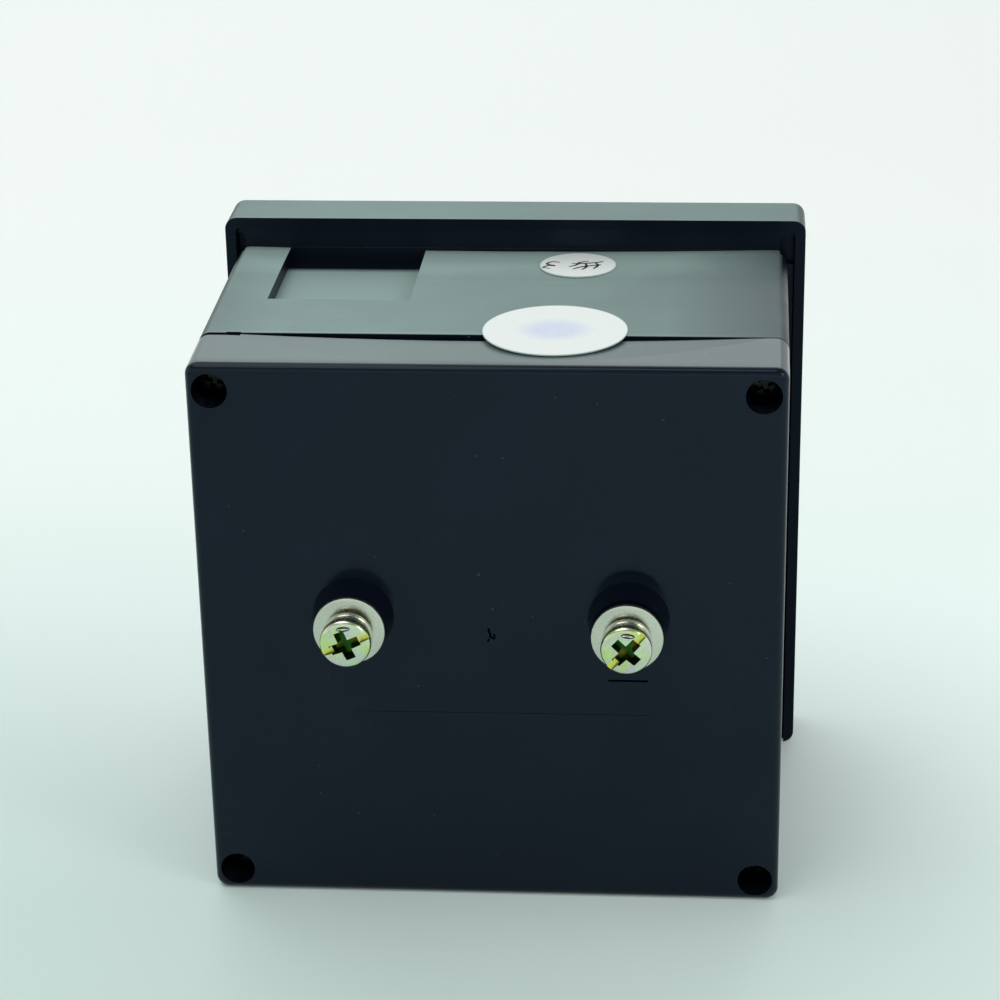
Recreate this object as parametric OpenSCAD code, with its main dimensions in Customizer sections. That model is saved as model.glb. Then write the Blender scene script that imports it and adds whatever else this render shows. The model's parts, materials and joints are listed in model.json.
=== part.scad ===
// Square analog panel meter: moving-coil movement in a moulded case with a screwed rear cover.
// Millimetres. The dial faces -Y, +Z is up, and the origin is the centre of the bezel's panel seat.

/* [Bezel] */
// Width and height of the square bezel
bezel_size = 96; // [94:0.5:104]
// Depth from the front face to the rim that seats on the panel
bezel_depth = 10.5; // [9.5:0.5:14]
// Radius of the bezel's four corners
bezel_corner_r = 2; // [1.5:0.25:3.5]
// Radius of the edge round the front face
bezel_edge_r = 0.8; // [0.4:0.1:1.2]
// Wall of the bezel's four sides
bezel_wall = 1.7; // [1.2:0.1:2]
// Depth of the rim behind the case flange
rim_recess = 1.2; // [0.8:0.1:2]
// Thickness of the lip round the front opening
lip_t = 1.6; // [1.2:0.1:2]
// Width of the lip round the front opening
lip_w = 4; // [3:0.25:5]

/* [Window and mask] */
// Thickness of the clear window
pane_t = 2; // [1.5:0.1:2.5]
// Height of the lower mask, from the bezel's bottom edge to the window
mask_h = 27.8; // [26:0.2:29]
// Wall of the lower mask
mask_wall = 1.6; // [1.2:0.1:1.8]
// Step from the bezel's front face back to the mask
mask_step = 0.5; // [0.5:0.1:0.8]

/* [Case and rear cover] */
// How much narrower and lower than the bezel the housing is at its rear face
case_step = 5.8; // [5:0.1:7]
// Depth from the panel seat to the rear face
case_depth = 54.7; // [52:0.1:70]
// Widening of each side between the rear face and the panel seat
case_draft = 0.5; // [0.2:0.1:0.6]
// Sideways place of the housing behind the bezel
case_shift_x = 0.5; // [0:0.1:0.8]
// Overhang of the bezel below the housing
case_foot_z = 0.4; // [0.3:0.1:2.5]
// Wall of the case and of the rear cover
case_wall = 2.2; // [1.8:0.1:2.6]
// Radius of the housing's four long corners
case_corner_r = 2; // [1.5:0.25:3]
// Radius of the edge round the rear face
rear_edge_r = 1.3; // [0.8:0.1:1.5]
// Depth of the rear cover
cover_depth = 13.8; // [12:0.1:16]
// Thickness of the rear wall
rear_wall = 2.5; // [2:0.1:3.5]
// Gap between the case and the rear cover
seam_gap = 0.3; // [0.2:0.05:0.5]
// Extra gap in the middle of the top edge, where the cover bows away
seam_bow = 1; // [0.5:0.1:2]
// Sink of the cover's top at the middle of the seam
cover_sink = 0.6; // [0.2:0.05:0.8]
// Sink of the case's top at the middle of the flange
case_sink = 0.55; // [0.2:0.05:0.8]
// Extra gap at the corner where the cover stands off
corner_gap = 0.7; // [0.2:0.1:1]
// Height of the locating lip inside the seam
spigot_h = 2.4; // [1.5:0.1:3.5]
// Thickness of the case flange that the bezel snaps over
flange_t = 2; // [1.6:0.1:2.6]
// Width of the flange's inner ledge, which carries the dial
flange_ledge = 6.1; // [5:0.1:7]

/* [Clamp pockets] */
// Width of a clamp pocket
pocket_w = 22.6; // [18:0.2:26]
// Length of a clamp pocket behind the panel seat
pocket_l = 25; // [18:0.5:30]
// Depth of a clamp pocket
pocket_d = 2.5; // [1.5:0.1:3]
// Distance from the housing's centre to the pocket's centre
pocket_x = 25.5; // [20:0.5:27]
// Floor left under a pocket
pocket_floor = 1.8; // [1.5:0.1:2.4]

/* [Cover screws] */
// Distance of each screw from the housing's sides and bottom
well_inset = 3.7; // [3.6:0.1:5]
// How much further the two upper screws sit from the top
well_drop = 0.6; // [0:0.1:1.5]
// Diameter of the screw wells
well_d = 5.5; // [5.4:0.1:6]
// Depth of the screw wells
well_depth = 7; // [5:0.25:8.5]
// Diameter of the screws' shank
cover_screw_d = 2.9; // [2.5:0.1:3]
// Length of the screws under the head
cover_screw_l = 13; // [11:0.5:16]

/* [Terminals] */
// Distance between the two terminals
terminal_pitch = 42.4; // [36:0.2:48]
// Place of the terminals to the side of the housing's centre
terminal_x = -0.2; // [-1:0.1:1]
// Height of the terminals above the housing's centre
terminal_z = 4.1; // [0:0.1:8]
// Diameter of the terminal boss at the rear face
boss_base_d = 12.6; // [12:0.2:15]
// Diameter of the terminal boss at its end
boss_end_d = 11.1; // [10.5:0.1:11.9]
// Height of the terminal boss
boss_h = 4.8; // [3.5:0.1:7]
// Diameter of the threaded bush
bush_d = 6; // [5.6:0.1:7]
// Diameter of the terminal screw
screw_d = 3.9; // [3.4:0.1:4.2]
// Diameter of the terminal screw's head
head_d = 7.8; // [7.4:0.1:8.6]
// Height of the terminal screw's head
head_h = 2.5; // [2:0.1:3]
// Length of the terminal screw under its head
screw_l = 12; // [11:0.5:13]
// Outer diameter of the flat washers
flat_washer_d = 11; // [10:0.1:12]
// Thickness of the flat washers
flat_washer_t = 0.8; // [0.5:0.1:1]
// Thickness of the spring washers' strip
spring_washer_t = 1; // [0.8:0.1:1.1]
// Rise of a slack spring washer over one turn
spring_washer_rise = 0.8; // [0.6:0.1:1]
// Gap between the boss and the flat washer on terminal a
slack_a = 0.15; // [0.12:0.01:0.3]
// Gap between the boss and the flat washer on terminal b
slack_b = 1.15; // [0.6:0.05:1.5]
// Gap from the flat washer to the spring washer on terminal a
washer_gap_a = 0.6; // [0.3:0.05:0.8]
// Gap from the flat washer to the spring washer on terminal b
washer_gap_b = 0.3; // [0.3:0.05:0.8]
// Gap from the spring washer to the head
head_gap = 0.3; // [0.2:0.05:0.5]

/* [Movement] */
// Height of the pointer's axis above the housing's bottom
pivot_rise = 20.6; // [20:0.1:21.4]
// Distance from the pointer's tip to the window's edge at both ends of the scale
pointer_side = 5.1; // [4.5:0.1:9]
// Thickness of the pointer
pointer_t = 0.2; // [0.15:0.05:0.35]
// Width of the pointer at its axis
pointer_w = 1.2; // [0.8:0.1:2]
// Distance of the three balance weights from the axis
weight_r = 7.8; // [7.6:0.1:8.4]
// Radius of the balance weight on the pointer's tail
tail_weight_r = 1.6; // [1.2:0.1:1.7]
// Radius of the two balance weights on the cross arms
arm_weight_r = 0.9; // [0.7:0.1:1.2]
// Thickness of the balance weights
weight_t = 0.7; // [0.4:0.05:0.75]
// Thickness of the dial plate
dial_t = 0.8; // [0.5:0.1:1]
// Radius of the iron core
core_r = 7.2; // [6.8:0.1:7.3]
// Length of the iron core
core_l = 11.6; // [10.5:0.1:12]
// Radial thickness of the winding
winding_t = 0.7; // [0.4:0.1:0.8]
// Radius of the bore between the pole shoes
pole_bore_r = 9.9; // [9.8:0.1:10.4]
// Width of the yoke
yoke_w = 46; // [44:0.5:48]
// Clearance between the yoke and the floor of the lower clamp pocket
yoke_gap = 0.5; // [0.4:0.1:1.2]
// Depth of the yoke
yoke_l = 14; // [14:0.1:16]
// Wall of the yoke
yoke_wall = 4; // [3.5:0.1:4.4]
// Thickness of each magnet
magnet_t = 4; // [3:0.1:5]
// Thickness of the movement frame
frame_t = 1.5; // [1.2:0.1:2]
// Turns of each hairspring
spring_turns = 4; // [3:1:5]

/* [Zero adjuster] */
// Distance of the adjuster below the pointer's axis
adjuster_drop = 11.6; // [11.4:0.1:12.4]
// Offset of the adjuster's driving pin
adjuster_throw = 1.2; // [1:0.1:1.3]
// Diameter of the adjuster's slotted head
adjuster_head_d = 7; // [6:0.25:8]

/* [Labels] */
// Diameter of the seal over the seam
seal_d = 22.2; // [18:0.2:24]
// Place of the seal from the housing's centre
seal_x = -9.6; // [-16:0.1:16]
// Distance of the seal's centre in front of the rear face
seal_y = 15.9; // [14.5:0.1:17]
// Diameter of the inspection label
check_d = 12.4; // [10:0.2:14]
// Place of the inspection label from the housing's centre
check_x = -11.5; // [-16:0.1:8]
// Distance of the inspection label's centre behind the panel seat
check_y = 6.7; // [6:0.1:12]
// Thickness of the labels
label_t = 0.2; // [0.1:0.05:0.3]

/* [Hidden] */
$fn = 48;

// Clearances
fit = 0.05;           // turning and threaded fits
slip = 0.2;           // pieces that drop into each other
touch = 0.02;         // pieces that are fixed face to face
over = 1;             // how far a cutter runs past the face it opens

// Stations along the depth
front_y = -bezel_depth;
lip_y = front_y + lip_t;
pane_y = lip_y + pane_t;
flange_back_y = -rim_recess;
flange_front_y = flange_back_y - flange_t;
dial_front_y = flange_front_y - dial_t;
seam_y = case_depth - cover_depth;
cover_front_y = seam_y + seam_gap;
frame_step = 2.2;
frame_y = flange_back_y + frame_step;
frame_back_y = frame_y + frame_t;
yoke_back_y = frame_back_y + yoke_l;
core_mid_y = frame_back_y + yoke_l / 2;

// The bezel's inside, the housing's size and the case flange that the bezel snaps over
case_size = bezel_size - case_step;
function case_top_z() = -bezel_size / 2 + case_foot_z + case_size;
bezel_in = bezel_size - 2 * bezel_wall;
flange_size = bezel_in - 2 * slip;
opening = bezel_size - 2 * lip_w;
opening_r = 1;
pane_r = 0.5;
collar_t = 2;
flange_hole = flange_size - 2 * flange_ledge;
flange_floor = 2.2;
flange_low_z = -flange_size / 2 + flange_floor;
flange_high_z = case_top_z() - pocket_d - pocket_floor - slip;

// The housing
case_cz = -bezel_size / 2 + case_foot_z + case_size / 2;
function half_width(y) = case_size / 2 + case_draft * (1 - y / case_depth);
well_x = case_size / 2 - well_inset;
well_floor_y = case_depth - well_depth;
screw_post_d = 2 * well_inset - 0.4;
screw_post_l = 18;
cover_head_d = well_d - 0.3;
cover_head_h = 2;
side_wall_x = half_width(0) - case_wall - case_shift_x;
sink_half = case_size / 2 - 3;
corner_cut = 1.2;
corner_cut_l = 1.4;
corner_gap_w = 6.6;
corner_gap_x = case_shift_x + case_size / 2 - corner_gap_w;
seam_bow_end = 5;
tab_w = 2.3;
tab_cut = 0.4;

// Terminals, as distances behind the rear face
term_z = case_cz + terminal_z;
term_mid_x = case_shift_x + terminal_x;
term_a_x = term_mid_x + terminal_pitch / 2;
term_b_x = term_mid_x - terminal_pitch / 2;
bush_out = boss_h - 0.1;
bush_in = 9;
inner_boss = 4.5;
tag_t = 0.6;
tag_y = case_depth - inner_boss - tag_t;
nut_t = 2.4;
nut_wall = 1.6;
nut_d = bush_d + 2 * nut_wall;
washer_bore_d = screw_d + 0.4;
head_dome = 0.7;
slot_w = 1.1;
slot_depth = 0.9;
cross_r = 2.2;
cross_depth = 1.5;
turn_a = 23;
turn_b = 47;
spring_washer_d = head_d - 0.2;
check_edge_x = abs(check_x) + check_d / 2;
check_slope = atan2(case_sink, seam_y - flange_back_y);
check_drop = case_sink * (seam_y - check_y) / (seam_y - flange_back_y)
    - case_sink * pow(check_edge_x / sink_half, 2) - touch;
tongue_w = 3;
tongue_l = 10;
lead_d = 1;
lead_bend = 2;
resistor_d = 4.4;
resistor_l = 9;
resistor_wire_d = 0.8;

// The pointer's axis, its reach and the top of the mask
rest_angle = 45;
pivot_z = -bezel_size / 2 + case_foot_z + pivot_rise;
pointer_l = (opening / 2 - pointer_side) / sin(rest_angle);
mask_line_z = -bezel_size / 2 + mask_h;

// The movement, along the depth from front to back
mask_front_y = front_y + mask_step;
mask_in_y = mask_front_y + mask_wall;
bridge_y = mask_in_y + 0.8;
bridge_t = 1;
bridge_back_y = bridge_y + bridge_t;
lever_y = bridge_back_y + fit;
lever_t = 0.5;
front_spring_y = lever_y + lever_t + 0.3;
spring_h = 0.6;
pointer_y = front_spring_y + spring_h + 0.35;
former_t = 0.6;
former_w = 3.6;
winding_w = 2.8;
former_in = core_r + 0.7;
former_out = former_in + former_t;
winding_out = former_out + winding_t;
end_gap = 1.3;
former_front_y = core_mid_y - core_l / 2 - end_gap - former_t;
former_back_y = core_mid_y + core_l / 2 + end_gap + former_t;
winding_front_y = former_front_y - winding_t;
winding_back_y = former_back_y + winding_t;
rear_spring_y = winding_back_y + 1.85;
rear_bridge_y = rear_spring_y + spring_h + 2.05;
rear_bridge_t = 1.2;
staff_r = 0.5;
foot_r = 1.6;
foot_t = 0.5;
tip_r = 0.05;
tip_base_r = 0.35;
end_play = 0.1;
front_jewel_y = lever_y + lever_t + fit;
rear_jewel_y = rear_bridge_y - 0.45;
collet_r = 1.1;
spring_r0 = collet_r + 0.15;
spring_r1 = 5;
spring_strip = 0.18;
stud_r = 0.45;
jewel_r = 1.25;
cup_h = 0.5;
cup_r = 0.5;
adjuster_z = pivot_z - adjuster_drop;
adjuster_pin_r = 0.6;
adjuster_pin_z = adjuster_z + adjuster_throw;
pole_tip_x = 5.5;
yoke_h = 2 * (pivot_rise - pocket_d - pocket_floor - yoke_gap);
yoke_in_w = yoke_w - 2 * yoke_wall;
yoke_in_h = yoke_h - 2 * yoke_wall;
shoe_h = yoke_in_h - 2;
core_pin_r = 1.5;
bridge_pillar_x = 15;
bridge_pillar_r = 1.8;
bridge_end = 2.4;
bridge_h = 5.2;
rear_pillar_x = yoke_w / 2 - yoke_wall / 2;
rear_pillar_r = 1.9;
rear_bridge_end = 2.2;
rear_bridge_h = 8;
pillar_sink = 0.5;
mount_block_l = 7.3;
mount_block_x = side_wall_x - mount_block_l;
mount_block_h = 8;
frame_arm_x = side_wall_x - 1;
frame_arm_h = 14;
yoke_hole_l = 6;
yoke_screw_l = 5;
frame_screw_x = (mount_block_x + frame_arm_x) / 2 + 0.4;
frame_screw_r = 1;
yoke_screw_x = yoke_w / 2 - yoke_wall / 2;
yoke_screw_z = yoke_h / 2 - yoke_wall / 2;
dial_screw_x = flange_hole / 2 + 2;
dial_screw_z = pivot_z + 12;
dial_screw_r = 0.8;
dial_head_r = 1.8;
dial_head_h = 0.9;
dial_half = flange_size / 2 - collar_t - 0.3;
dial_low_z = pivot_z + 3.5;
dial_high_z = flange_size / 2 - collar_t - 0.6;

// Turns a shape drawn in X and Z, and raised along +Z, to lie in the front plane and run along +Y
module along_y(y) {
    translate([0, y, 0])
        rotate([-90, 0, 0])
            children();
}

// A bar along +Y: a cylinder at x, z from y to y + l
module bar(x, z, y, l, r) {
    translate([x, y, z])
        rotate([-90, 0, 0])
            cylinder(h = l, r = r);
}

// A tapered bar along +Y
module cone_bar(x, z, y, l, r1, r2) {
    translate([x, y, z])
        rotate([-90, 0, 0])
            cylinder(h = l, r1 = r1, r2 = r2);
}

// A block from one corner to the other
module block(low, high) {
    translate(low)
        cube(high - low);
}

// A square plate with round corners in the front plane, from y to y + t
module plate(w, h, r, y, t, cx = 0, cz = 0) {
    translate([cx, 0, cz])
        along_y(y)
            linear_extrude(t) {
                square([w - 2 * r, h], center = true);
                square([w, h - 2 * r], center = true);
                for (sx = [-1, 1], sz = [-1, 1])
                    translate([sx * (w / 2 - r), sz * (h / 2 - r)])
                        circle(r);
            }
}

// A round button for a corner: radius r, with an edge of radius e at the end that faces away
module corner_button(x, z, y, r, e, faces) {
    translate([x, y, z])
        rotate([-90 * faces, 0, 0])
            rotate_extrude($fn = 40)
                union() {
                    translate([r - e, -e])
                        intersection() {
                            circle(e, $fn = 40);
                            square(e);
                        }
                    translate([0, -e])
                        square([r - e, e]);
                }
}

// The housing's outside between two stations: it widens towards the panel and keeps its height
module housing(y0, y1, inset, r) {
    hull()
        for (sx = [-1, 1], sz = [-1, 1]) {
            z = case_cz + sz * (case_size / 2 - inset - r);
            bar(case_shift_x + sx * (half_width(y0) - inset - r), z, y0, 0.01, r);
            bar(case_shift_x + sx * (half_width(y1) - inset - r), z, y1 - 0.01, 0.01, r);
        }
}

// The rear end of the housing, with the rounded edge round its rear face
module housing_end(y0) {
    hull()
        for (sx = [-1, 1], sz = [-1, 1]) {
            z = case_cz + sz * (case_size / 2 - case_corner_r);
            bar(case_shift_x + sx * (half_width(y0) - case_corner_r), z, y0, 0.01, case_corner_r);
            corner_button(case_shift_x + sx * (case_size / 2 - case_corner_r), z, case_depth,
                case_corner_r, rear_edge_r, 1);
        }
}

// The shallow sink in the top: full depth at y0 and nothing at y1
module top_sink(y0, y1, sink) {
    r = (sink_half * sink_half + sink * sink) / (2 * sink);
    slope = atan2(sink, y1 - y0);
    intersection() {
        translate([case_shift_x, y1, case_top_z()])
            rotate([slope, 0, 0])
                translate([0, -2 * (y1 - y0), r])
                    rotate([-90, 0, 0])
                        cylinder(h = 4 * (y1 - y0), r = r, $fn = 720);
        block([-case_size, y0, 0], [case_size, y1 + over, bezel_size]);
    }
}

// Places a child at each of the four cover screws
module at_screws() {
    for (sx = [-1, 1], sz = [-1, 1])
        translate([case_shift_x + sx * well_x, 0, case_cz + sz * well_x - (sz > 0 ? well_drop : 0)])
            children();
}

module bezel() {
    color("#10161c")
        difference() {
            hull() {
                for (sx = [-1, 1], sz = [-1, 1]) {
                    c = bezel_size / 2 - bezel_corner_r;
                    bar(sx * c, sz * c, -0.01, 0.01, bezel_corner_r);
                    corner_button(sx * c, sz * c, front_y, bezel_corner_r, bezel_edge_r, -1);
                }
            }
            plate(bezel_in, bezel_in, bezel_corner_r / 2, lip_y, bezel_depth);
            plate(opening, opening, opening_r, front_y - over, lip_t + 2 * over);
            // the rim is open at the bottom, where the housing's foot passes
            block([-bezel_in / 2, flange_back_y, -bezel_size], [bezel_in / 2, over, -bezel_in / 2 + over]);
        }
}

module window() {
    low = mask_line_z + slip / 2;
    high = flange_size / 2;
    color("#dfeef2", 0.35)
        plate(flange_size, high - low, pane_r, lip_y + touch, pane_t - 2 * touch, 0, (high + low) / 2);
}

module lower_mask() {
    low = -flange_size / 2;
    high = mask_line_z - slip / 2;
    pad_low = -opening / 2 + slip;
    color("#0d1217")
        difference() {
            union() {
                plate(flange_size, high - low, pane_r, lip_y + touch, pane_t - 2 * touch, 0,
                    (high + low) / 2);
                plate(opening - 2 * slip, high - pad_low, opening_r, mask_front_y,
                    lip_y + 0.5 - mask_front_y, 0, (high + pad_low) / 2);
            }
            block([-opening / 2 + mask_wall, mask_in_y, pad_low + mask_wall],
                [opening / 2 - mask_wall, pane_y + over, high - mask_wall]);
            bar(0, adjuster_z, mask_front_y - over, mask_wall + 2 * over, 1.5 + fit);
        }
}

module zero_adjuster() {
    head_front_y = mask_front_y - mask_step;
    snap_y = mask_in_y + 0.1;
    color("#1d242b")
        difference() {
            union() {
                bar(0, adjuster_z, head_front_y, mask_step - fit, adjuster_head_d / 2);
                bar(0, adjuster_z, head_front_y + 0.1, snap_y - head_front_y, 1.5);
                bar(0, adjuster_z, snap_y, 0.5, 2.6);
                bar(0, adjuster_pin_z, snap_y + 0.4, lever_y + lever_t + 0.2 - snap_y - 0.4,
                    adjuster_pin_r);
            }
            block([-adjuster_head_d, head_front_y - over, adjuster_z - 0.5],
                [adjuster_head_d, head_front_y + 0.3, adjuster_z + 0.5]);
        }
}

// The space inside the case, with floors left under the two clamp pockets
module case_space() {
    pad = pocket_d + pocket_floor;
    difference() {
        housing(flange_back_y - touch, seam_y + over, case_wall, 1);
        for (s = [-1, 1])
            translate([case_shift_x, 0, case_cz])
                rotate([0, s < 0 ? 180 : 0, 0])
                    block([pocket_x - pocket_w / 2 - pocket_floor, flange_back_y - over,
                            case_size / 2 - pad],
                        [pocket_x + pocket_w / 2 + pocket_floor, pocket_l + pocket_floor,
                            case_size / 2]);
    }
}

module case() {
    boss_y = seam_y - screw_post_l;
    color("#141b22")
        difference() {
            union() {
                difference() {
                    housing(flange_back_y, seam_y, 0, case_corner_r);
                    case_space();
                    // cut back beside the flange and under it, where the bezel's walls pass
                    difference() {
                        block([-bezel_size, -bezel_depth, -bezel_size],
                            [bezel_size, slip / 2, bezel_size]);
                        block([-flange_size / 2, -bezel_depth, -flange_size / 2],
                            [flange_size / 2, over, flange_size / 2]);
                        block([-flange_size / 2, flange_back_y + slip / 2, -bezel_size],
                            [flange_size / 2, over, bezel_size]);
                    }
                }
                difference() {
                    plate(flange_size, flange_size, bezel_corner_r / 2, pane_y + touch,
                        flange_back_y - pane_y - touch);
                    block([-flange_size / 2 + collar_t, pane_y - over, -flange_size / 2 + collar_t],
                        [flange_size / 2 - collar_t, flange_front_y, flange_size / 2 - collar_t]);
                    block([-flange_hole / 2, pane_y - over, flange_low_z],
                        [flange_hole / 2, frame_y, flange_high_z]);
                }
                // locating lip inside the rear cover
                difference() {
                    housing(seam_y - 1, seam_y + spigot_h, case_wall / 2 + slip / 2, 1.2);
                    housing(seam_y - 1 - over, seam_y + spigot_h + over, case_wall, 1);
                }
                at_screws()
                    bar(0, 0, boss_y, screw_post_l, screw_post_d / 2);
                for (s = [-1, 1])
                    block([s > 0 ? mount_block_x : -side_wall_x - 2, flange_front_y,
                            pivot_z - mount_block_h / 2],
                        [s > 0 ? side_wall_x + 2 : -mount_block_x, frame_y - touch,
                            pivot_z + mount_block_h / 2]);
            }
            // clamp pockets in the top and, turned half round, in the bottom
            for (s = [-1, 1])
                translate([case_shift_x, 0, case_cz])
                    rotate([0, s < 0 ? 180 : 0, 0])
                        block([pocket_x - pocket_w / 2, flange_back_y + touch, case_size / 2 - pocket_d],
                            [pocket_x + pocket_w / 2, pocket_l, case_size / 2 + over]);
            at_screws() {
                bar(0, 0, well_floor_y - cover_screw_l, cover_screw_l, cover_screw_d / 2 + fit);
                bar(0, 0, seam_y, spigot_h + over, screw_post_d / 2 + slip);
            }
            top_sink(flange_back_y + touch, seam_y, case_sink);
            // the moulded tab beside the corner
            block([corner_gap_x, seam_y - tab_cut, case_top_z() - case_wall / 2],
                [corner_gap_x + tab_w, seam_y + over, case_top_z() + over]);
            // corners cut back beside the flange
            for (sx = [-1, 1], sz = [-1, 1])
                translate([case_shift_x + sx * half_width(0), flange_back_y + touch,
                        case_cz + sz * case_size / 2])
                    cube([2 * corner_cut, 2 * corner_cut_l, 4 * corner_cut], center = true);
            for (s = [-1, 1]) {
                bar(s * frame_screw_x, pivot_z, flange_front_y - over, frame_y - flange_front_y + 2 * over,
                    frame_screw_r);
                bar(s * dial_screw_x, dial_screw_z, flange_front_y - over, flange_t + 2 * over, 0.8 + fit);
            }
        }
}

module rear_cover() {
    color("#161d26")
        difference() {
            union() {
                difference() {
                    housing_end(cover_front_y);
                    housing(cover_front_y - over, case_depth - rear_wall, case_wall, 1);
                    // rebate for the case's locating lip
                    housing(cover_front_y - over, seam_y + spigot_h + 0.3, case_wall / 2, 1.2);
                }
                intersection() {
                    housing_end(cover_front_y);
                    at_screws()
                        bar(0, 0, cover_front_y, cover_depth, screw_post_d / 2);
                }
                for (x = [term_a_x, term_b_x]) {
                    cone_bar(x, term_z, case_depth - touch, boss_h + touch, boss_base_d / 2, boss_end_d / 2);
                    bar(x, term_z, case_depth - inner_boss, inner_boss, boss_base_d / 2);
                }
            }
            for (x = [term_a_x, term_b_x])
                bar(x, term_z, case_depth - inner_boss - over, inner_boss + boss_h + 2 * over,
                    bush_d / 2 + touch);
            at_screws() {
                bar(0, 0, well_floor_y, well_depth + over, well_d / 2);
                bar(0, 0, cover_front_y - over, cover_depth, cover_screw_d / 2 + slip);
            }
            seam_relief();
            top_sink(cover_front_y - touch, case_depth - rear_edge_r, cover_sink);
            block([corner_gap_x, cover_front_y - over, case_top_z() - 2 * case_wall],
                [case_size, cover_front_y + corner_gap, case_top_z() + over]);
        }
}

// The shallow curve along the middle of the cover's top edge
module seam_relief() {
    chord = case_size / 2 - seam_bow_end;
    r = (chord * chord + seam_bow * seam_bow) / (2 * seam_bow);
    intersection() {
        translate([case_shift_x, cover_front_y + seam_bow - r, case_top_z() - case_wall / 2 - 0.1])
            cylinder(h = case_wall, r = r, $fn = 720);
        block([-case_size, cover_front_y - over, 0],
            [case_size, cover_front_y + seam_bow + over, bezel_size]);
    }
}

module cover_screws() {
    color("#c9c4a0")
        at_screws() {
            bar(0, 0, well_floor_y + touch, cover_head_h, cover_head_d / 2);
            bar(0, 0, well_floor_y - cover_screw_l + 0.5, cover_screw_l, cover_screw_d / 2);
        }
}

module terminal_bush(x) {
    color("#b8933f")
        difference() {
            bar(x, term_z, case_depth - bush_in, bush_in + bush_out, bush_d / 2);
            bar(x, term_z, case_depth - bush_in - over, bush_in + bush_out + 2 * over, screw_d / 2 + fit);
        }
}

function washer_y(slack) = case_depth + boss_h + slack;
function spring_y(slack, gap) = washer_y(slack) + flat_washer_t + gap;
function head_y(slack, gap) = spring_y(slack, gap) + spring_washer_t + spring_washer_rise + head_gap;

module terminal_screw(x, slack, gap, turn) {
    y = head_y(slack, gap);
    color("#b9c46a")
        difference() {
            union() {
                bar(x, term_z, y, head_h - head_dome, head_d / 2);
                cone_bar(x, term_z, y + head_h - head_dome, head_dome, head_d / 2, head_d / 2 - head_dome);
                bar(x, term_z, y - screw_l, screw_l + 0.1, screw_d / 2);
            }
            // the full-width slot and the cross
            translate([x, y + head_h, term_z])
                rotate([0, turn, 0]) {
                    block([-head_d, -slot_depth, -slot_w / 2], [head_d, over, slot_w / 2]);
                    block([-slot_w / 2, -cross_depth, -cross_r], [slot_w / 2, over, cross_r]);
                    block([-cross_r, -cross_depth, -slot_w / 2], [cross_r, over, slot_w / 2]);
                }
        }
}

module flat_washer(x, slack) {
    color("#b6b9b0")
        difference() {
            bar(x, term_z, washer_y(slack), flat_washer_t, flat_washer_d / 2);
            bar(x, term_z, washer_y(slack) - over, flat_washer_t + 2 * over, washer_bore_d / 2);
        }
}

// A split ring whose strip climbs by the rise over one turn
module spring_washer(x, slack, gap) {
    steps = 32;
    sweep = 345;
    r_in = washer_bore_d / 2;
    r_out = spring_washer_d / 2;
    points = [for (i = [0 : steps])
        let (a = sweep * i / steps, y = spring_washer_rise * i / steps)
            for (c = [[r_in, 0], [r_out, 0], [r_out, spring_washer_t], [r_in, spring_washer_t]])
                [c[0] * cos(a), y + c[1], -c[0] * sin(a)]];
    sides = [for (i = [0 : steps - 1], k = [0 : 3])
        [4 * i + k, 4 * i + (k + 1) % 4, 4 * i + 4 + (k + 1) % 4, 4 * i + 4 + k]];
    ends = [[3, 2, 1, 0], [4 * steps, 4 * steps + 1, 4 * steps + 2, 4 * steps + 3]];
    color("#aab0a8")
        translate([x, spring_y(slack, gap), term_z])
            polyhedron(points, concat(sides, ends), convexity = 4);
}

module terminal_nut(x) {
    color("#c2c6bf")
        difference() {
            translate([x, tag_y - nut_t - touch, term_z])
                rotate([-90, 0, 0])
                    cylinder(h = nut_t, d = nut_d, $fn = 6);
            bar(x, term_z, tag_y - nut_t - over, nut_t + 2 * over, bush_d / 2 + fit);
        }
}

module solder_tag(x) {
    color("#cfc9b4")
        difference() {
            union() {
                bar(x, term_z, tag_y, tag_t - touch, bush_d / 2 + 2.4);
                block([x - tongue_w / 2, tag_y, term_z - tongue_l],
                    [x + tongue_w / 2, tag_y + tag_t - touch, term_z]);
            }
            bar(x, term_z, tag_y - over, tag_t + 2 * over, bush_d / 2 + fit);
        }
}

module shunt_resistor() {
    y = tag_y - resistor_wire_d / 2 - touch;
    z = term_z - tongue_l + 2;
    mid = term_mid_x;
    color("#3f8f8a")
        translate([mid, y, z])
            rotate([0, 90, 0]) {
                cylinder(h = resistor_l, d = resistor_d, center = true);
                cylinder(h = terminal_pitch, d = resistor_wire_d, center = true);
            }
}

// A lead from a solder tag down and forward to the rear bridge
module lead(x) {
    y = tag_y - lead_d / 2 - touch;
    end_y = rear_bridge_y + rear_bridge_t + touch;
    color("#a63228") {
        translate([x, y, pivot_z + lead_bend])
            cylinder(h = term_z - tongue_l + 1 - pivot_z - lead_bend, d = lead_d);
        translate([x, y - lead_bend, pivot_z + lead_bend])
            rotate([-90, 0, 90])
                rotate_extrude(angle = 90)
                    translate([lead_bend, 0])
                        circle(d = lead_d);
        bar(x, pivot_z, end_y, y - lead_bend - end_y, lead_d / 2);
    }
}

module label(x, y, d, drop, slope) {
    color("#f2f5f3")
        translate([x, y, case_top_z() + touch - drop])
            rotate([slope, 0, 0])
                cylinder(h = label_t, d = d);
}

module dial_plate() {
    low = [-dial_half, dial_front_y, dial_low_z];
    high = [dial_half, flange_front_y - touch, dial_high_z];
    color("#f4f4ee")
        difference() {
            block(low, high);
            for (s = [-1, 1])
                bar(s * dial_screw_x, dial_screw_z, dial_front_y - over, dial_t + 2 * over, 1);
        }
}

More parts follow.
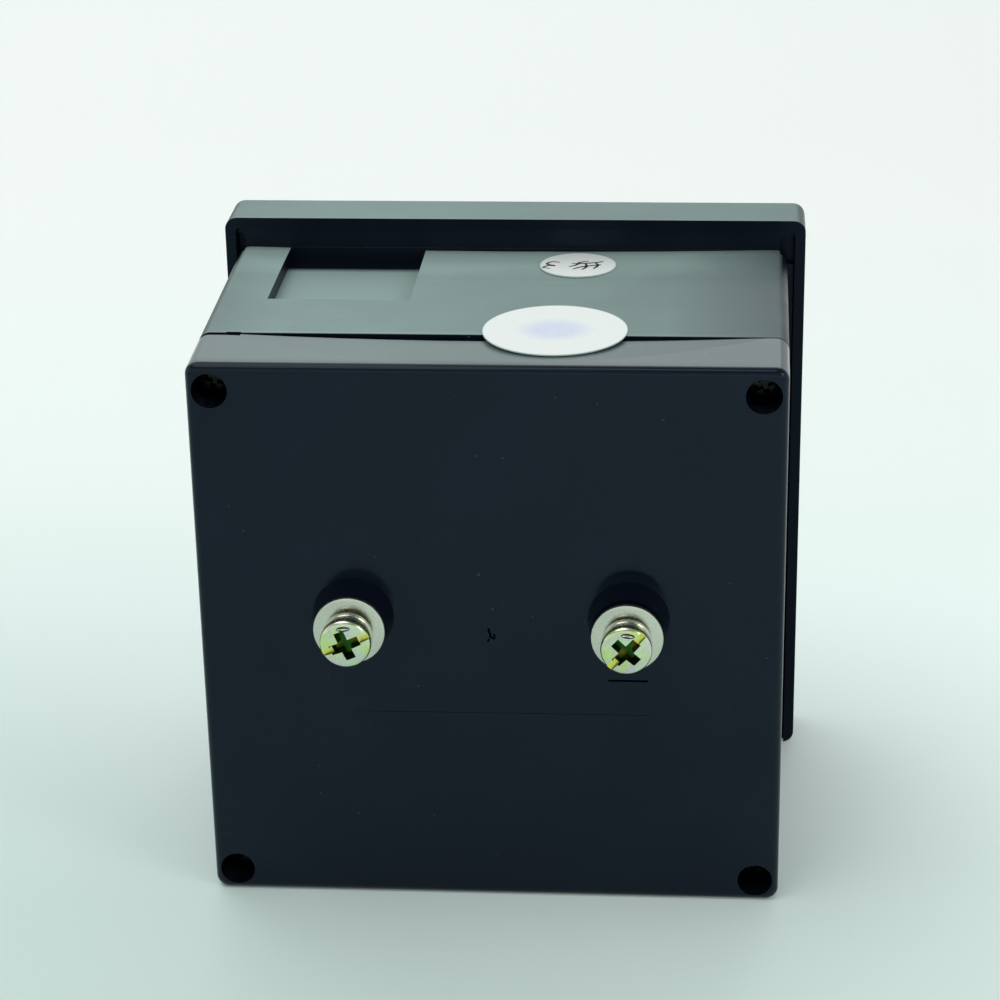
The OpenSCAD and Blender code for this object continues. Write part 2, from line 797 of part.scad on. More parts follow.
module dial_screws() {
    color("#c8ccd0")
        for (s = [-1, 1]) {
            bar(s * dial_screw_x, dial_screw_z, dial_front_y - dial_head_h, dial_head_h - touch,
                dial_head_r);
            bar(s * dial_screw_x, dial_screw_z, dial_front_y - dial_head_h / 2,
                dial_t + flange_t + 0.25, dial_screw_r);
        }
}

module movement_frame() {
    color("#b9bdc1")
        difference() {
            union() {
                block([-yoke_w / 2, frame_y, pivot_z - yoke_h / 2], [yoke_w / 2, frame_back_y - touch,
                    pivot_z + yoke_h / 2]);
                block([-frame_arm_x, frame_y, pivot_z - frame_arm_h / 2], [frame_arm_x,
                    frame_back_y - touch, pivot_z + frame_arm_h / 2]);
            }
            bar(0, pivot_z, frame_y - over, frame_t + 2 * over, pole_bore_r + 1.1);
            for (s = [-1, 1]) {
                bar(s * frame_screw_x, pivot_z, frame_y - over, frame_t + 2 * over, frame_screw_r + fit);
                bar(s * yoke_screw_x, pivot_z + s * yoke_screw_z, frame_y - over, frame_t + 2 * over,
                    frame_screw_r + fit);
            }
        }
}

module movement_screws() {
    color("#c8ccd0")
        for (s = [-1, 1]) {
            bar(s * frame_screw_x, pivot_z, frame_back_y, 1.5, 2);
            bar(s * frame_screw_x, pivot_z, flange_front_y + 0.5, frame_back_y - flange_front_y,
                frame_screw_r - fit);
            bar(s * yoke_screw_x, pivot_z + s * yoke_screw_z, frame_y - 1.3 - touch, 1.3, 1.7);
            bar(s * yoke_screw_x, pivot_z + s * yoke_screw_z, frame_y - 0.5, frame_t + yoke_screw_l,
                frame_screw_r - fit);
        }
}

module yoke() {
    color("#6d7278")
        difference() {
            block([-yoke_w / 2, frame_back_y, pivot_z - yoke_h / 2], [yoke_w / 2, yoke_back_y,
                pivot_z + yoke_h / 2]);
            block([-yoke_in_w / 2, frame_back_y - over, pivot_z - yoke_in_h / 2], [yoke_in_w / 2,
                yoke_back_y + over, pivot_z + yoke_in_h / 2]);
            for (s = [-1, 1])
                bar(s * yoke_screw_x, pivot_z + s * yoke_screw_z, frame_back_y - over, yoke_hole_l + over,
                    frame_screw_r);
        }
}

module magnet(s) {
    inner = yoke_in_w / 2 - magnet_t;
    outer = yoke_in_w / 2 - touch;
    color("#34383d")
        block([s > 0 ? inner + touch : -outer, frame_back_y + touch, pivot_z - shoe_h / 2],
            [s > 0 ? outer : -inner - touch, yoke_back_y, pivot_z + shoe_h / 2]);
}

module pole_shoe(s) {
    outer = yoke_in_w / 2 - magnet_t;
    color("#8a8f94")
        difference() {
            block([s > 0 ? pole_tip_x : -outer, frame_back_y + touch, pivot_z - shoe_h / 2],
                [s > 0 ? outer : -pole_tip_x, yoke_back_y, pivot_z + shoe_h / 2]);
            bar(0, pivot_z, frame_back_y - over, yoke_l + 2 * over, pole_bore_r);
        }
}

module iron_core() {
    color("#9a9fa4")
        difference() {
            bar(0, pivot_z, core_mid_y - core_l / 2, core_l, core_r);
            translate([0, core_mid_y, pivot_z - core_r - over])
                cylinder(h = 2 * core_r + 2 * over, r = core_pin_r + touch);
        }
}

module core_pin() {
    color("#b8933f")
        translate([0, core_mid_y, pivot_z - yoke_in_h / 2 + touch])
            cylinder(h = yoke_in_h - 2 * touch, r = core_pin_r);
}

// A rectangular ring round the core, turned with the pointer to its rest angle
module coil_ring(out, in, front, back, t, w) {
    translate([0, 0, pivot_z])
        rotate([0, -rest_angle, 0])
            difference() {
                block([-out, front, -w / 2], [out, back, w / 2]);
                block([-in, front + t, -w], [in, back - t, w]);
            }
}

module coil_former() {
    color("#c9ccd0")
        coil_ring(former_out, former_in, former_front_y, former_back_y, former_t, former_w);
}

module coil_winding() {
    color("#b5672c")
        coil_ring(winding_out, former_out + touch, winding_front_y, winding_back_y, winding_t - touch,
            winding_w);
}

module front_staff() {
    shoulder_y = front_jewel_y + end_play;
    color("#d5d8da") {
        bar(0, pivot_z, winding_front_y - foot_t, foot_t - touch, foot_r);
        bar(0, pivot_z, shoulder_y, winding_front_y - foot_t / 2 - shoulder_y, staff_r);
        bar(0, pivot_z, front_spring_y - fit, spring_h + 2 * fit, collet_r);
        cone_bar(0, pivot_z, shoulder_y - cup_h + end_play, cup_h - end_play, tip_r, tip_base_r);
    }
}

module rear_staff() {
    shoulder_y = rear_jewel_y - end_play;
    color("#d5d8da") {
        bar(0, pivot_z, winding_back_y + touch, foot_t - touch, foot_r);
        bar(0, pivot_z, winding_back_y + foot_t / 2, shoulder_y - winding_back_y - foot_t / 2, staff_r);
        bar(0, pivot_z, rear_spring_y - fit, spring_h + 2 * fit, collet_r);
        cone_bar(0, pivot_z, shoulder_y, cup_h - end_play, tip_base_r, tip_r);
    }
}

module pointer() {
    tail = weight_r + tail_weight_r;
    arm = weight_r + arm_weight_r;
    half_w = pointer_w / 2;
    tip_w = 0.2;
    y = pointer_y;
    color("#15181b")
        translate([0, 0, pivot_z])
            rotate([0, -rest_angle, 0])
                difference() {
                    union() {
                        along_y(y)
                            linear_extrude(pointer_t)
                                polygon([[-half_w, 0], [-tip_w, -pointer_l + 3], [0, -pointer_l],
                                    [tip_w, -pointer_l + 3], [half_w, 0]]);
                        block([-half_w, y, -tail], [half_w, y + pointer_t, 0]);
                        block([-arm, y, -0.5], [arm, y + pointer_t, 0.5]);
                        bar(0, 0, y - 0.2, pointer_t + 0.4, 1.8);
                    }
                    bar(0, 0, y - over, pointer_t + 2 * over, staff_r + touch);
                }
}

module balance_weights() {
    y = pointer_y - weight_t - touch;
    color("#b8933f")
        translate([0, 0, pivot_z])
            rotate([0, -rest_angle, 0]) {
                bar(0, -weight_r, y, weight_t, tail_weight_r);
                for (s = [-1, 1])
                    bar(s * weight_r, 0, y, weight_t, arm_weight_r);
            }
}

module front_bridge() {
    color("#c3b27a")
        difference() {
            union() {
                block([-bridge_pillar_x - bridge_end, bridge_y, pivot_z - bridge_h / 2],
                    [bridge_pillar_x + bridge_end, bridge_back_y, pivot_z + bridge_h / 2]);
                for (s = [-1, 1])
                    bar(s * bridge_pillar_x, pivot_z, bridge_y + pillar_sink,
                        frame_y - touch - bridge_y - pillar_sink, bridge_pillar_r);
            }
            bar(0, pivot_z, bridge_y - over, bridge_t + 2 * over, jewel_r + fit);
        }
}

module rear_bridge() {
    color("#c3b27a")
        difference() {
            union() {
                block([-rear_pillar_x - rear_bridge_end, rear_bridge_y, pivot_z - rear_bridge_h / 2],
                    [rear_pillar_x + rear_bridge_end, rear_bridge_y + rear_bridge_t,
                        pivot_z + rear_bridge_h / 2]);
                for (s = [-1, 1])
                    bar(s * rear_pillar_x, pivot_z, yoke_back_y + touch,
                        rear_bridge_y + pillar_sink - yoke_back_y - touch, rear_pillar_r);
                bar(spring_r1 + stud_r + spring_strip, pivot_z, rear_spring_y,
                    rear_bridge_y + pillar_sink - rear_spring_y, stud_r);
            }
            bar(0, pivot_z, rear_bridge_y - over, rear_bridge_t + 2 * over, jewel_r + fit);
        }
}

module front_jewel_screw() {
    y = bridge_y - 0.5;
    color("#b08a3a")
        difference() {
            bar(0, pivot_z, y, front_jewel_y - y, jewel_r);
            cone_bar(0, pivot_z, front_jewel_y - cup_h, cup_h + touch, cup_r / 5, cup_r);
            block([-2, y - over, pivot_z - 0.25], [2, y + 0.35, pivot_z + 0.25]);
        }
}

module rear_jewel_screw() {
    l = rear_bridge_t + 2.4;
    y = rear_jewel_y + l;
    color("#b08a3a")
        difference() {
            bar(0, pivot_z, rear_jewel_y, l, jewel_r);
            cone_bar(0, pivot_z, rear_jewel_y - touch, cup_h + touch, cup_r, cup_r / 5);
            block([-2, y - 0.5, pivot_z - 0.25], [2, y + over, pivot_z + 0.25]);
        }
}

// A flat spiral strip, from the collet out to its stud
module hairspring(y, turns) {
    steps = 24 * turns;
    function r(i) = spring_r0 + (spring_r1 - spring_r0) * i / steps;
    function at(i, d) = [(r(i) + d) * cos(15 * i), (r(i) + d) * sin(15 * i)];
    color("#c98b4a")
        translate([0, 0, pivot_z])
            along_y(y)
                linear_extrude(spring_h)
                    polygon(concat([for (i = [0 : steps]) at(i, 0)],
                        [for (i = [steps : -1 : 0]) at(i, spring_strip)]));
}

module zero_lever() {
    fork_w = adjuster_pin_r + 0.25;
    color("#c3b27a")
        difference() {
            union() {
                bar(0, pivot_z, lever_y, lever_t, 3);
                block([-fork_w - 0.9, lever_y, adjuster_pin_z - 1.4], [fork_w + 0.9, lever_y + lever_t,
                    pivot_z]);
                block([0, lever_y, pivot_z - 0.9], [spring_r1 + 2 * stud_r + spring_strip,
                    lever_y + lever_t, pivot_z + 0.9]);
                bar(spring_r1 + stud_r + spring_strip, pivot_z, lever_y, lever_t + 0.3 + spring_h, stud_r);
            }
            bar(0, pivot_z, lever_y - over, lever_t + 2 * over, jewel_r + fit);
            block([-fork_w, lever_y - over, adjuster_pin_z - 2], [fork_w, lever_y + lever_t + over,
                adjuster_pin_z + 1.2]);
        }
}

bezel();
window();
lower_mask();
zero_adjuster();
case();
rear_cover();
cover_screws();
terminal_bush(term_a_x);  // terminal_bush_a
terminal_bush(term_b_x);  // terminal_bush_b
terminal_screw(term_a_x, slack_a, washer_gap_a, turn_a);  // terminal_screw_a
terminal_screw(term_b_x, slack_b, washer_gap_b, turn_b);  // terminal_screw_b
flat_washer(term_a_x, slack_a);  // flat_washer_a
flat_washer(term_b_x, slack_b);  // flat_washer_b
spring_washer(term_a_x, slack_a, washer_gap_a);  // spring_washer_a
spring_washer(term_b_x, slack_b, washer_gap_b);  // spring_washer_b
terminal_nut(term_a_x);  // terminal_nut_a
terminal_nut(term_b_x);  // terminal_nut_b
solder_tag(term_a_x);  // solder_tag_a
solder_tag(term_b_x);  // solder_tag_b
shunt_resistor();
lead(term_a_x);  // lead_a
lead(term_b_x);  // lead_b
label(case_shift_x + seal_x, case_depth - seal_y, seal_d, 0, 0);  // seal_label
label(case_shift_x + check_x, check_y, check_d, check_drop, check_slope);  // inspection_label
dial_plate();
dial_screws();
movement_frame();
movement_screws();
yoke();
magnet(-1);  // magnet_left
magnet(1);  // magnet_right
pole_shoe(-1);  // pole_shoe_left
pole_shoe(1);  // pole_shoe_right
iron_core();
core_pin();
coil_former();
coil_winding();
front_staff();
rear_staff();
pointer();
balance_weights();
front_bridge();
rear_bridge();
front_jewel_screw();
rear_jewel_screw();
hairspring(front_spring_y, spring_turns);  // front_hairspring
hairspring(rear_spring_y, spring_turns);  // rear_hairspring
zero_lever();
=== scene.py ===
"""Looks of a square moving-coil panel meter: finishes, screws, dial print, labels and the stage."""

import json
import math

import bmesh
import bpy
from bpy.props import FloatProperty, FloatVectorProperty, IntProperty, PointerProperty
from mathutils import Matrix, Vector


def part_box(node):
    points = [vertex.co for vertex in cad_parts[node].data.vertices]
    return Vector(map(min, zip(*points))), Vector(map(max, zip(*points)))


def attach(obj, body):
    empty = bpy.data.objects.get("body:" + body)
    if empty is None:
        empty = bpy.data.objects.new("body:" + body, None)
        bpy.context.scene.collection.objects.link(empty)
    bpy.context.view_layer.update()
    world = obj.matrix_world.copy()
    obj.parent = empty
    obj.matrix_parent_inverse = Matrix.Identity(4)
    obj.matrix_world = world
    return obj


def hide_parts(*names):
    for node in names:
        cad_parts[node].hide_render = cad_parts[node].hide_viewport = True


bl_info = {
    "name": "Panel Meter",
    "version": (1, 0, 0),
    "blender": (4, 5, 0),
    "location": "View3D > Sidebar > Panel Meter",
    "description": "Finishes, screws, dial print, labels and stage for a square panel meter",
    "category": "Object",
}

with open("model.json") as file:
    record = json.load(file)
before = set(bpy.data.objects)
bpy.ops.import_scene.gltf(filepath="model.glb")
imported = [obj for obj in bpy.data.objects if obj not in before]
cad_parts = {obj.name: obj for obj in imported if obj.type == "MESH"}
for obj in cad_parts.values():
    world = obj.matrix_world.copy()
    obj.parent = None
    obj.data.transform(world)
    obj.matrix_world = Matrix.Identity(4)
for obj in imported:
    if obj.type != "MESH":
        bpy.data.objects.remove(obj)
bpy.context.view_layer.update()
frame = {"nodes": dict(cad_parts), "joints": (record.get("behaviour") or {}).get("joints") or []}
NODES = frame["nodes"]
MM = 0.001
HOUSING = "housing"
QUARTER = math.pi / 2
ACROSS = Matrix.Rotation(QUARTER, 4, "X")  # stands flat work up, so that it lies across Y
BEZEL_LOW, BEZEL_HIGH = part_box("bezel")
COVER_LOW, COVER_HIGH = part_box("rear_cover")
BODY_TOP = COVER_HIGH.z
SEAM_Y = COVER_LOW.y
BOSS_HEIGHT = 4.8 * MM  # the cover's box ends at its terminal bosses
REAR_FACE = COVER_HIGH.y - BOSS_HEIGHT

# Bands of place for the pale film on the mouldings' tops. The film is dust and painted sheen: it
# makes the black tops pale for the light they catch.
# Each band gives the axis, a datum, where the band starts and stops in mm past the datum, and its
# share at the start and at the stop.
# Many bands paint light or shade on the film, as noted at each.
BEZEL_SHEEN_AND_DUST = (
    # Painted shade: darker towards -X, and a little darker at the +X end
    ("X", 0, -48, 25, 0.78, 0.98),
    ("X", 0, 36, 48, 1.0, 0.86),
    ("Z", BEZEL_HIGH.z, -1.2, -0.8, 0, 1),
    # Painted highlight along the bezel's rear rim
    ("Y", 0, -1, -0.2, 1, 1.12),
)
CASE_SHEEN_AND_DUST = (
    # Painted shade: darker at the +X end, and most towards -X
    ("X", 0, -47, 30, 0.7, 1.08),
    ("X", 0, 34, 46, 1.0, 0.7),
    ("X", 0, -48, -26, 0.3, 1.0),
    ("Z", BODY_TOP, -4.4, -4, 0, 1),
    ("Y", SEAM_Y, -0.6, -0.4, 1, 0),
    # Painted light: brighter next to the flange, against the flange's shade there
    ("Y", 0, 1, 13, 1.65, 1.0),
    # Painted highlight along the case's rear top edge by the seam
    ("Y", SEAM_Y, -1.6, -0.9, 1, 1.15),
    # Painted light: brighter on the clamp pocket's floor, against its shade
    ("Z", BODY_TOP, -2.4, -2, 1.28, 1),
)
COVER_SHEEN_AND_DUST = (
    # Painted shade: darker at the +X end, and most towards -X
    ("X", 0, -47, 20, 0.2, 0.64),
    ("X", 0, 26, 46, 1.0, 0.74),
    ("Z", BODY_TOP, -2.4, -2, 0, 1),
    # Painted shade: darker towards the rear top edge and over its rounding
    ("Y", REAR_FACE, -3, -1, 1, 0.2),
)
# Painted shade: no pale film at the end of the clamp pocket under the flange, so that it shows dark
# there
POCKET_END_SHADE = (
    ("Z", BODY_TOP, -2.2, -1.8, 1, 0),
    ("Y", 0, 2.5, 5.5, 1, 0),
)
SHEEN_AND_DUST_COVER = (0.76, 0.9)  # least and most cover of the pale film of dust and painted sheen
DUST_MATT = 0.35  # roughness that it adds
SCRATCH_BARE = 0.3  # cover that a scratch takes away

# Terminal screws: head, shank, recess and forming mark; turns and leans are in degrees
HEAD_DEPTH = 2.5 * MM
HEAD_DOME = 0.35 * MM
HEAD_CHAMFER = 0.1 * MM
SHANK_RADIUS = 1.93 * MM
SLOT_REACH = 12 * MM  # longer than the head is wide
RECESS_TAPER = 0.7
RECESS_TURN = {"a": 23, "b": 47}
RECESS_SKIN = 0.08 * MM  # what lies this far below the head's skin belongs to a recess
BROW_LEAN = {"a": 4, "b": -6}
BROW_SINK = 0.25 * MM
BROW_DEPTH = 0.45 * MM
# Place, half width and half height of the forming mark, as shares of the head's radius
BROW_RISE, BROW_WIDE, BROW_TALL = 0.69, 0.27, 0.1
# Material indices of the head's faces; 0 is its own film. The recess walls get a film pooled there
# that is also painted shade, and the forming mark gets painted shade.
POOLED_FILM_AND_SHADE, SLOT_END, BROW_SHADE = 1, 2, 3

# Flat and spring washers: bore radius, softened edges, wire and span in degrees
WASHER_BORE = 2.15 * MM
WASHER_SOFT = 0.18 * MM
SPRING_SOFT = 0.12 * MM
SPRING_THICK = 1.0 * MM
SPRING_SPAN = 345

# Cover screws: radii, the head's side and crown as radius and depth below the top in mm
WELL_HEAD = 2.6 * MM
WELL_SHANK = 1.42 * MM
WELL_SHRINK = 0.65  # their cross, against that of the terminal screws
WELL_CROWN = ((2.5, 1.95), (2.6, 1.85), (2.6, 0.9), (2.48, 0.5), (2.1, 0.18), (1.4, 0.04), (0, 0))

# The dial's two arcs, as depths inside the scale's radius, and half its angle in degrees
OUTER_ARC = (0.35 * MM, 0)
INNER_ARC = (2.6 * MM, 2.3 * MM)
SCALE_HALF = 45
# Which divisions, their reach past the outer arc and their width in mm, the longest first
DIVISIONS = ((10, 4.2, 0.55), (5, 3.2, 0.35), (1, 2.2, 0.22))
NUMBERS = ("0", "20", "40", "60", "80", "100")
NUMBER_HEIGHT = 4.4 * MM
NUMBER_REACH = 7.0 * MM
UNIT_HEIGHT = 11 * MM
UNIT_RADIUS = 28 * MM

LABEL_THICK = 0.2 * MM
CUT_EDGE = 0.35 * MM  # width of the darker rim

# Pen strokes on the inspection label, in mm from its middle; they spell nothing
PEN_LINES = (
    ((3.4, 1.6), (4.3, 1.2), (3.6, 0.4), (2.9, 0.5), (3.9, -0.2), (3.3, -1.1), (2.3, -0.9)),
    ((0.6, 1.9), (-0.4, 0.9), (-1.6, 0.4), (-2.9, -0.1)),
    ((1.1, 0.9), (0.2, 0.1), (-0.2, -0.9), (-1.3, -1.5)),
    ((-0.6, 2.0), (-1.1, 0.8), (-0.9, -0.6)),
    ((0.8, -0.4), (-0.6, -0.5), (-2.2, -0.9), (-3.1, -1.4)),
    ((-2.0, 1.6), (-2.5, 0.3), (-2.2, -0.7)),
)
PEN_SCALE = 1.3
PEN_HALF = 0.24 * MM  # half the widest stroke
PEN_LIFT = 0.115 * MM  # above the label's middle

# x, z, width, height in mm and turn in degrees of the marks on the rear face
REAR_MARKS = (
    (-20.8, -8.9, 6.1, 0.32, 0),
    (0.5, -1.0, 0.34, 1.5, 14),
    (0.1, -1.85, 1.0, 0.36, -30),
    (-0.25, -1.5, 0.3, 0.6, 24),
    (0.7, -2.3, 0.3, 0.6, -10),
    (-1.2, -14.88, 46.0, 0.05, 0.2),
)
MARK_LIFT = 0.012 * MM

# Name, place, aim, width, height, power and tint of the lamps
LAMPS = (
    ("rear panel", (0.3, -1.0, 0.85), (0, 0, 0.02), 1.8, 0.9, 6.0, (0.97, 1.0, 0.99)),
    ("top panel", (0.35, 0.25, 1.15), (0, 0, 0.02), 1.0, 0.8, 4.4, (1.0, 1.0, 0.99)),
    ("side panel", (-0.75, 0.55, 0.6), (0, 0.03, 0), 0.35, 0.35, 1.2, (0.98, 1.0, 0.97)),
)
WORLD_LIGHT = 0.45
FLOOR_GAP = 0.02 * MM
# The camera's place, the way it looks, and its roll in degrees
CAMERA_SPOT = (-34.39 * MM, 450.48 * MM, 191.48 * MM)
CAMERA_AHEAD = (0.0761, -0.9159, -0.394)
CAMERA_ROLL = -1.094


# ---------------------------------------------------------------- sizes and colours


def length(name, text, default):
    """A size in metres that the sidebar shows."""
    return FloatProperty(name=name, description=text, default=default, unit="LENGTH", precision=5)


def colour(name, text, default):
    """A linear colour that the sidebar shows."""
    return FloatVectorProperty(
        name=name, description=text, default=default, subtype="COLOR", min=0, max=1)


class PM_PG_colours(bpy.types.PropertyGroup):
    """Base colours of the finishes"""

    plastic: colour("Plastic", "Black moulding", (0.0025, 0.0042, 0.0095))
    gloss: colour("Gloss", "Tint of the mouldings' gloss", (0.61, 0.78, 1))
    # The film colour is dust and painted sheen: it makes the black tops pale for the light they
    # catch.
    film: colour("Film", "Settled dust on the mouldings", (0.31, 0.415, 0.395))
    mask: colour("Mask", "Textured lower mask", (0.012, 0.013, 0.015))
    dust: colour("Dust", "Dust and fine scratches", (0.45, 0.47, 0.46))
    pane: colour("Pane", "Clear window", (0.97, 0.99, 0.99))
    nickel: colour("Nickel", "Plate of the washers", (0.64, 0.65, 0.55))
    passivate: colour("Passivate", "Yellow-green film on the screw heads", (0.66, 0.82, 0.26))
    blush: colour("Blush", "Blue-pink patches of the film", (0.72, 0.62, 0.72))
    zinc: colour("Zinc", "Pale plate of the screw heads", (0.66, 0.8, 0.68))
    # Dark green of film pooled in the recess; on the walls of the cross and slot it is also painted
    # shade.
    recess_film_and_shade: colour("Recess", "Film pooled in the driver recess", (0.02, 0.085, 0.012))
    driver_warm: colour("Recess patches", "Warm patches of that film", (0.2, 0.13, 0.01))
    slot_end: colour("Slot ends", "Bright film at the slot's ends", (0.8, 0.78, 0.16))
    # Painted shade: the near black of the cover screws deep in their wells and of the terminal
    # heads' forming marks
    shaded: colour("Shaded", "Well screws and forming marks", (0.03, 0.034, 0.03))
    brass: colour("Brass", "Turned brass", (0.62, 0.42, 0.14))
    copper: colour("Copper", "Enamelled winding wire", (0.5, 0.17, 0.06))
    iron: colour("Iron", "Plated soft iron", (0.36, 0.37, 0.38))
    alloy: colour("Alloy", "Aluminium castings", (0.62, 0.63, 0.65))
    lacquer: colour("Lacquer", "Lacquer of the shunt resistor", (0.05, 0.21, 0.19))
    red_sleeve: colour("Red sleeve", "Sleeve of lead a", (0.38, 0.02, 0.015))
    black_sleeve: colour("Black sleeve", "Sleeve of lead b", (0.01, 0.01, 0.012))
    paper: colour("Paper", "Coated label", (0.89, 0.92, 0.9))
    cut_edge: colour("Cut edge", "Edge of the labels", (0.35, 0.62, 0.66))
    patch: colour("Patch", "Faded print on the seal", (0.5, 0.56, 0.92))
    pen: colour("Pen", "Pen strokes on the inspection label", (0.01, 0.012, 0.02))
    dial: colour("Dial", "Enamelled dial", (0.86, 0.86, 0.82))
    ink: colour("Ink", "Dial print", (0.008, 0.009, 0.012))
    pointer: colour("Pointer", "Pointer black", (0.008, 0.008, 0.009))
    mark: colour("Mark", "Marks on the rear face", (0.0004, 0.0005, 0.0012))
    floor: colour("Floor", "Far part of the table top", (0.85, 0.865, 0.85))
    floor_near: colour("Near floor", "Near part of the table top", (0.72, 0.86, 0.825))
    floor_glow: colour("Floor glow", "What the camera sees added to the floor", (0.97, 1, 0.985))
    studio: colour("Studio", "World light and backdrop", (0.9, 0.98, 0.97))


class PM_PG_sizes(bpy.types.PropertyGroup):
    """Sizes of the detail"""

    thread_pitch: length("Thread pitch", "Pitch of the terminal screws", 0.7 * MM)
    head_edge: length("Head edge", "Rounding of the pan heads", 0.75 * MM)
    slot_width: length("Slot width", "Slot across the pan heads", 1.0 * MM)
    slot_depth: length("Slot depth", "Depth of the slot", 0.85 * MM)
    cross_reach: length("Cross reach", "Half length of the cross", 2.45 * MM)
    cross_depth: length("Cross depth", "Depth of the cross", 1.7 * MM)
    cross_width: length("Cross width", "Width of the cross's arms", 1.6 * MM)
    print_height: length("Print height", "Lift of the print over the dial", 0.02 * MM)
    scale_radius: length("Scale radius", "Radius of the dial's arc", 51.5 * MM)
    scale_parts: IntProperty(
        name="Scale parts", description="Small divisions on the dial", default=50, min=10)
    floor_size: length("Floor size", "Side of the floor", 6.0)
    camera_focal: FloatProperty(
        name="Focal length", description="Lens in mm", default=103.18, unit="CAMERA")


def colours():
    return bpy.context.scene.pm_colours


def sizes():
    return bpy.context.scene.pm_sizes


def rgba(name, by=1.0):
    """A named colour, lightened or darkened by a factor, with alpha."""
    return (*(by * c for c in getattr(colours(), name)), 1)


# ---------------------------------------------------------------- shader tools


class Nodes:
    """Short calls for building a node tree."""

    def __init__(self, tree):
        self.tree = tree

    def fill(self, node, inputs):
        """Links sockets to a node's inputs and sets the others to plain values."""
        for key, value in inputs.items():
            if isinstance(value, bpy.types.NodeSocket):
                self.tree.links.new(value, node.inputs[key])
            else:
                node.inputs[key].default_value = value

    def add(self, kind, inputs=None, **settings):
        node = self.tree.nodes.new(kind)
        for key, value in settings.items():
            setattr(node, key, value)
        self.fill(node, inputs or {})
        return node

    def math(self, operation, a, b=0.0, clamp=False):
        node = self.add("ShaderNodeMath", {0: a, 1: b}, operation=operation, use_clamp=clamp)
        return node.outputs[0]

    def times(self, product, *factors):
        """The product of all the values."""
        for factor in factors:
            product = self.math("MULTIPLY", product, factor)
        return product

    def vector(self, operation, a, b):
        return self.add("ShaderNodeVectorMath", {0: a, 1: b}, operation=operation).outputs[0]

    def size(self, vector):
        node = self.add("ShaderNodeVectorMath", {0: vector}, operation="LENGTH")
        return node.outputs["Value"]

    def noise(self, vector, scale, detail=3.0, rough=0.5):
        node = self.add("ShaderNodeTexNoise", {
            "Vector": vector, "Scale": scale, "Detail": detail, "Roughness": rough})
        return node.outputs["Fac"]

    def band(self, value, low, high, to_low=0.0, to_high=1.0):
        node = self.add("ShaderNodeMapRange", {
            "Value": value, "From Min": low, "From Max": high,
            "To Min": to_low, "To Max": to_high}, clamp=True)
        return node.outputs[0]

    def scaled(self, vector, by):
        return self.add("ShaderNodeMapping", {"Vector": vector, "Scale": by}).outputs[0]

    def millimetres(self, vector):
        """Coordinates in metres turned to millimetres."""
        return self.scaled(vector, (1000, 1000, 1000))

    def mix(self, fac, a, b):
        return self.add("ShaderNodeMix", {0: fac, 6: a, 7: b}, data_type="RGBA").outputs[2]


def facing_up(n, low=0.8, high=0.97):
    """Mask of the faces that look up, where dust settles and the painted sheen lies."""
    normal = n.add("ShaderNodeTexCoord").outputs["Normal"]
    up = n.add("ShaderNodeSeparateXYZ", {0: normal}).outputs["Z"]
    return n.band(up, low, high)


def dust_and_sheen_share(n, place, bands, shaded_bands=()):
    """The share of the pale film, dust and painted sheen: what faces up, times each of the bands.

    Where the shaded bands all hold, there is no film, which leaves painted shade.
    """
    axes = n.add("ShaderNodeSeparateXYZ", {0: place})

    def held(items):
        return [n.band(axes.outputs[axis], datum + start * MM, datum + stop * MM, low, high)
                for axis, datum, start, stop, low, high in items]

    share = n.times(facing_up(n), *held(bands))
    if shaded_bands:
        share = n.times(share, n.math("SUBTRACT", 1.0, n.times(1.0, *held(shaded_bands))))
    return share


def new_group(name, inputs, outputs):
    """An empty node group: vector and value inputs, and value outputs.

    A value input comes with its default, a vector input with None. Returns the tree, its tools,
    and the input and output nodes.
    """
    tree = bpy.data.node_groups.new(name, "ShaderNodeTree")
    for label, default in inputs.items():
        kind = "NodeSocketVector" if default is None else "NodeSocketFloat"
        socket = tree.interface.new_socket(label, in_out="INPUT", socket_type=kind)
        if default is not None:
            socket.default_value = default
    for label in outputs:
        tree.interface.new_socket(label, in_out="OUTPUT", socket_type="NodeSocketFloat")
    return tree, Nodes(tree), tree.nodes.new("NodeGroupInput"), tree.nodes.new("NodeGroupOutput")


def group(name, build):
    """The node group of that name, built on its first use."""
    return bpy.data.node_groups.get(name) or build(name)


def moulding_surface(name):
    """Tone, scratches, dust and height of a glossy moulding, over millimetres."""
    tree, n, source, sink = new_group(name, {"Vector": None, "Scratches": 0.5, "Dust": 0.5},
                                      ("Tone", "Marks", "Specks", "Height"))
    place = n.millimetres(source.outputs["Vector"])
    tone = n.noise(place, 0.055, 4, 0.6)
    fine = n.noise(place, 2.4, 2)
    drawn = n.noise(n.scaled(place, (0.06, 1.6, 1.6)), 1.0, 5, 0.7)
    where = n.band(n.noise(place, 0.09, 2), 0.52, 0.66)
    lines = n.times(n.band(drawn, 0.63, 0.69), where)
    marks = n.math("MULTIPLY", lines, source.outputs["Scratches"], clamp=True)
    cells = n.add("ShaderNodeTexVoronoi", {"Vector": place, "Scale": 0.5, "Randomness": 1.0})
    pick = n.add("ShaderNodeSeparateXYZ", {0: cells.outputs["Color"]})
    reach = n.band(pick.outputs["X"], 0.72, 1.0, 0.0, 0.11)
    dots = n.band(n.math("SUBTRACT", cells.outputs["Distance"], reach), -0.02, 0.01, 1, 0)
    chosen = n.band(n.noise(place, 0.12, 2), 0.45, 0.6)
    specks = n.math("MULTIPLY", n.times(dots, chosen), source.outputs["Dust"], clamp=True)
    height = n.math("ADD", n.times(n.noise(place, 0.11, 1), 2.0), n.times(fine, 0.012))
    height = n.math("SUBTRACT", height, n.times(marks, 0.05))
    n.fill(sink, {"Tone": tone, "Marks": marks, "Specks": specks, "Height": height})
    return tree


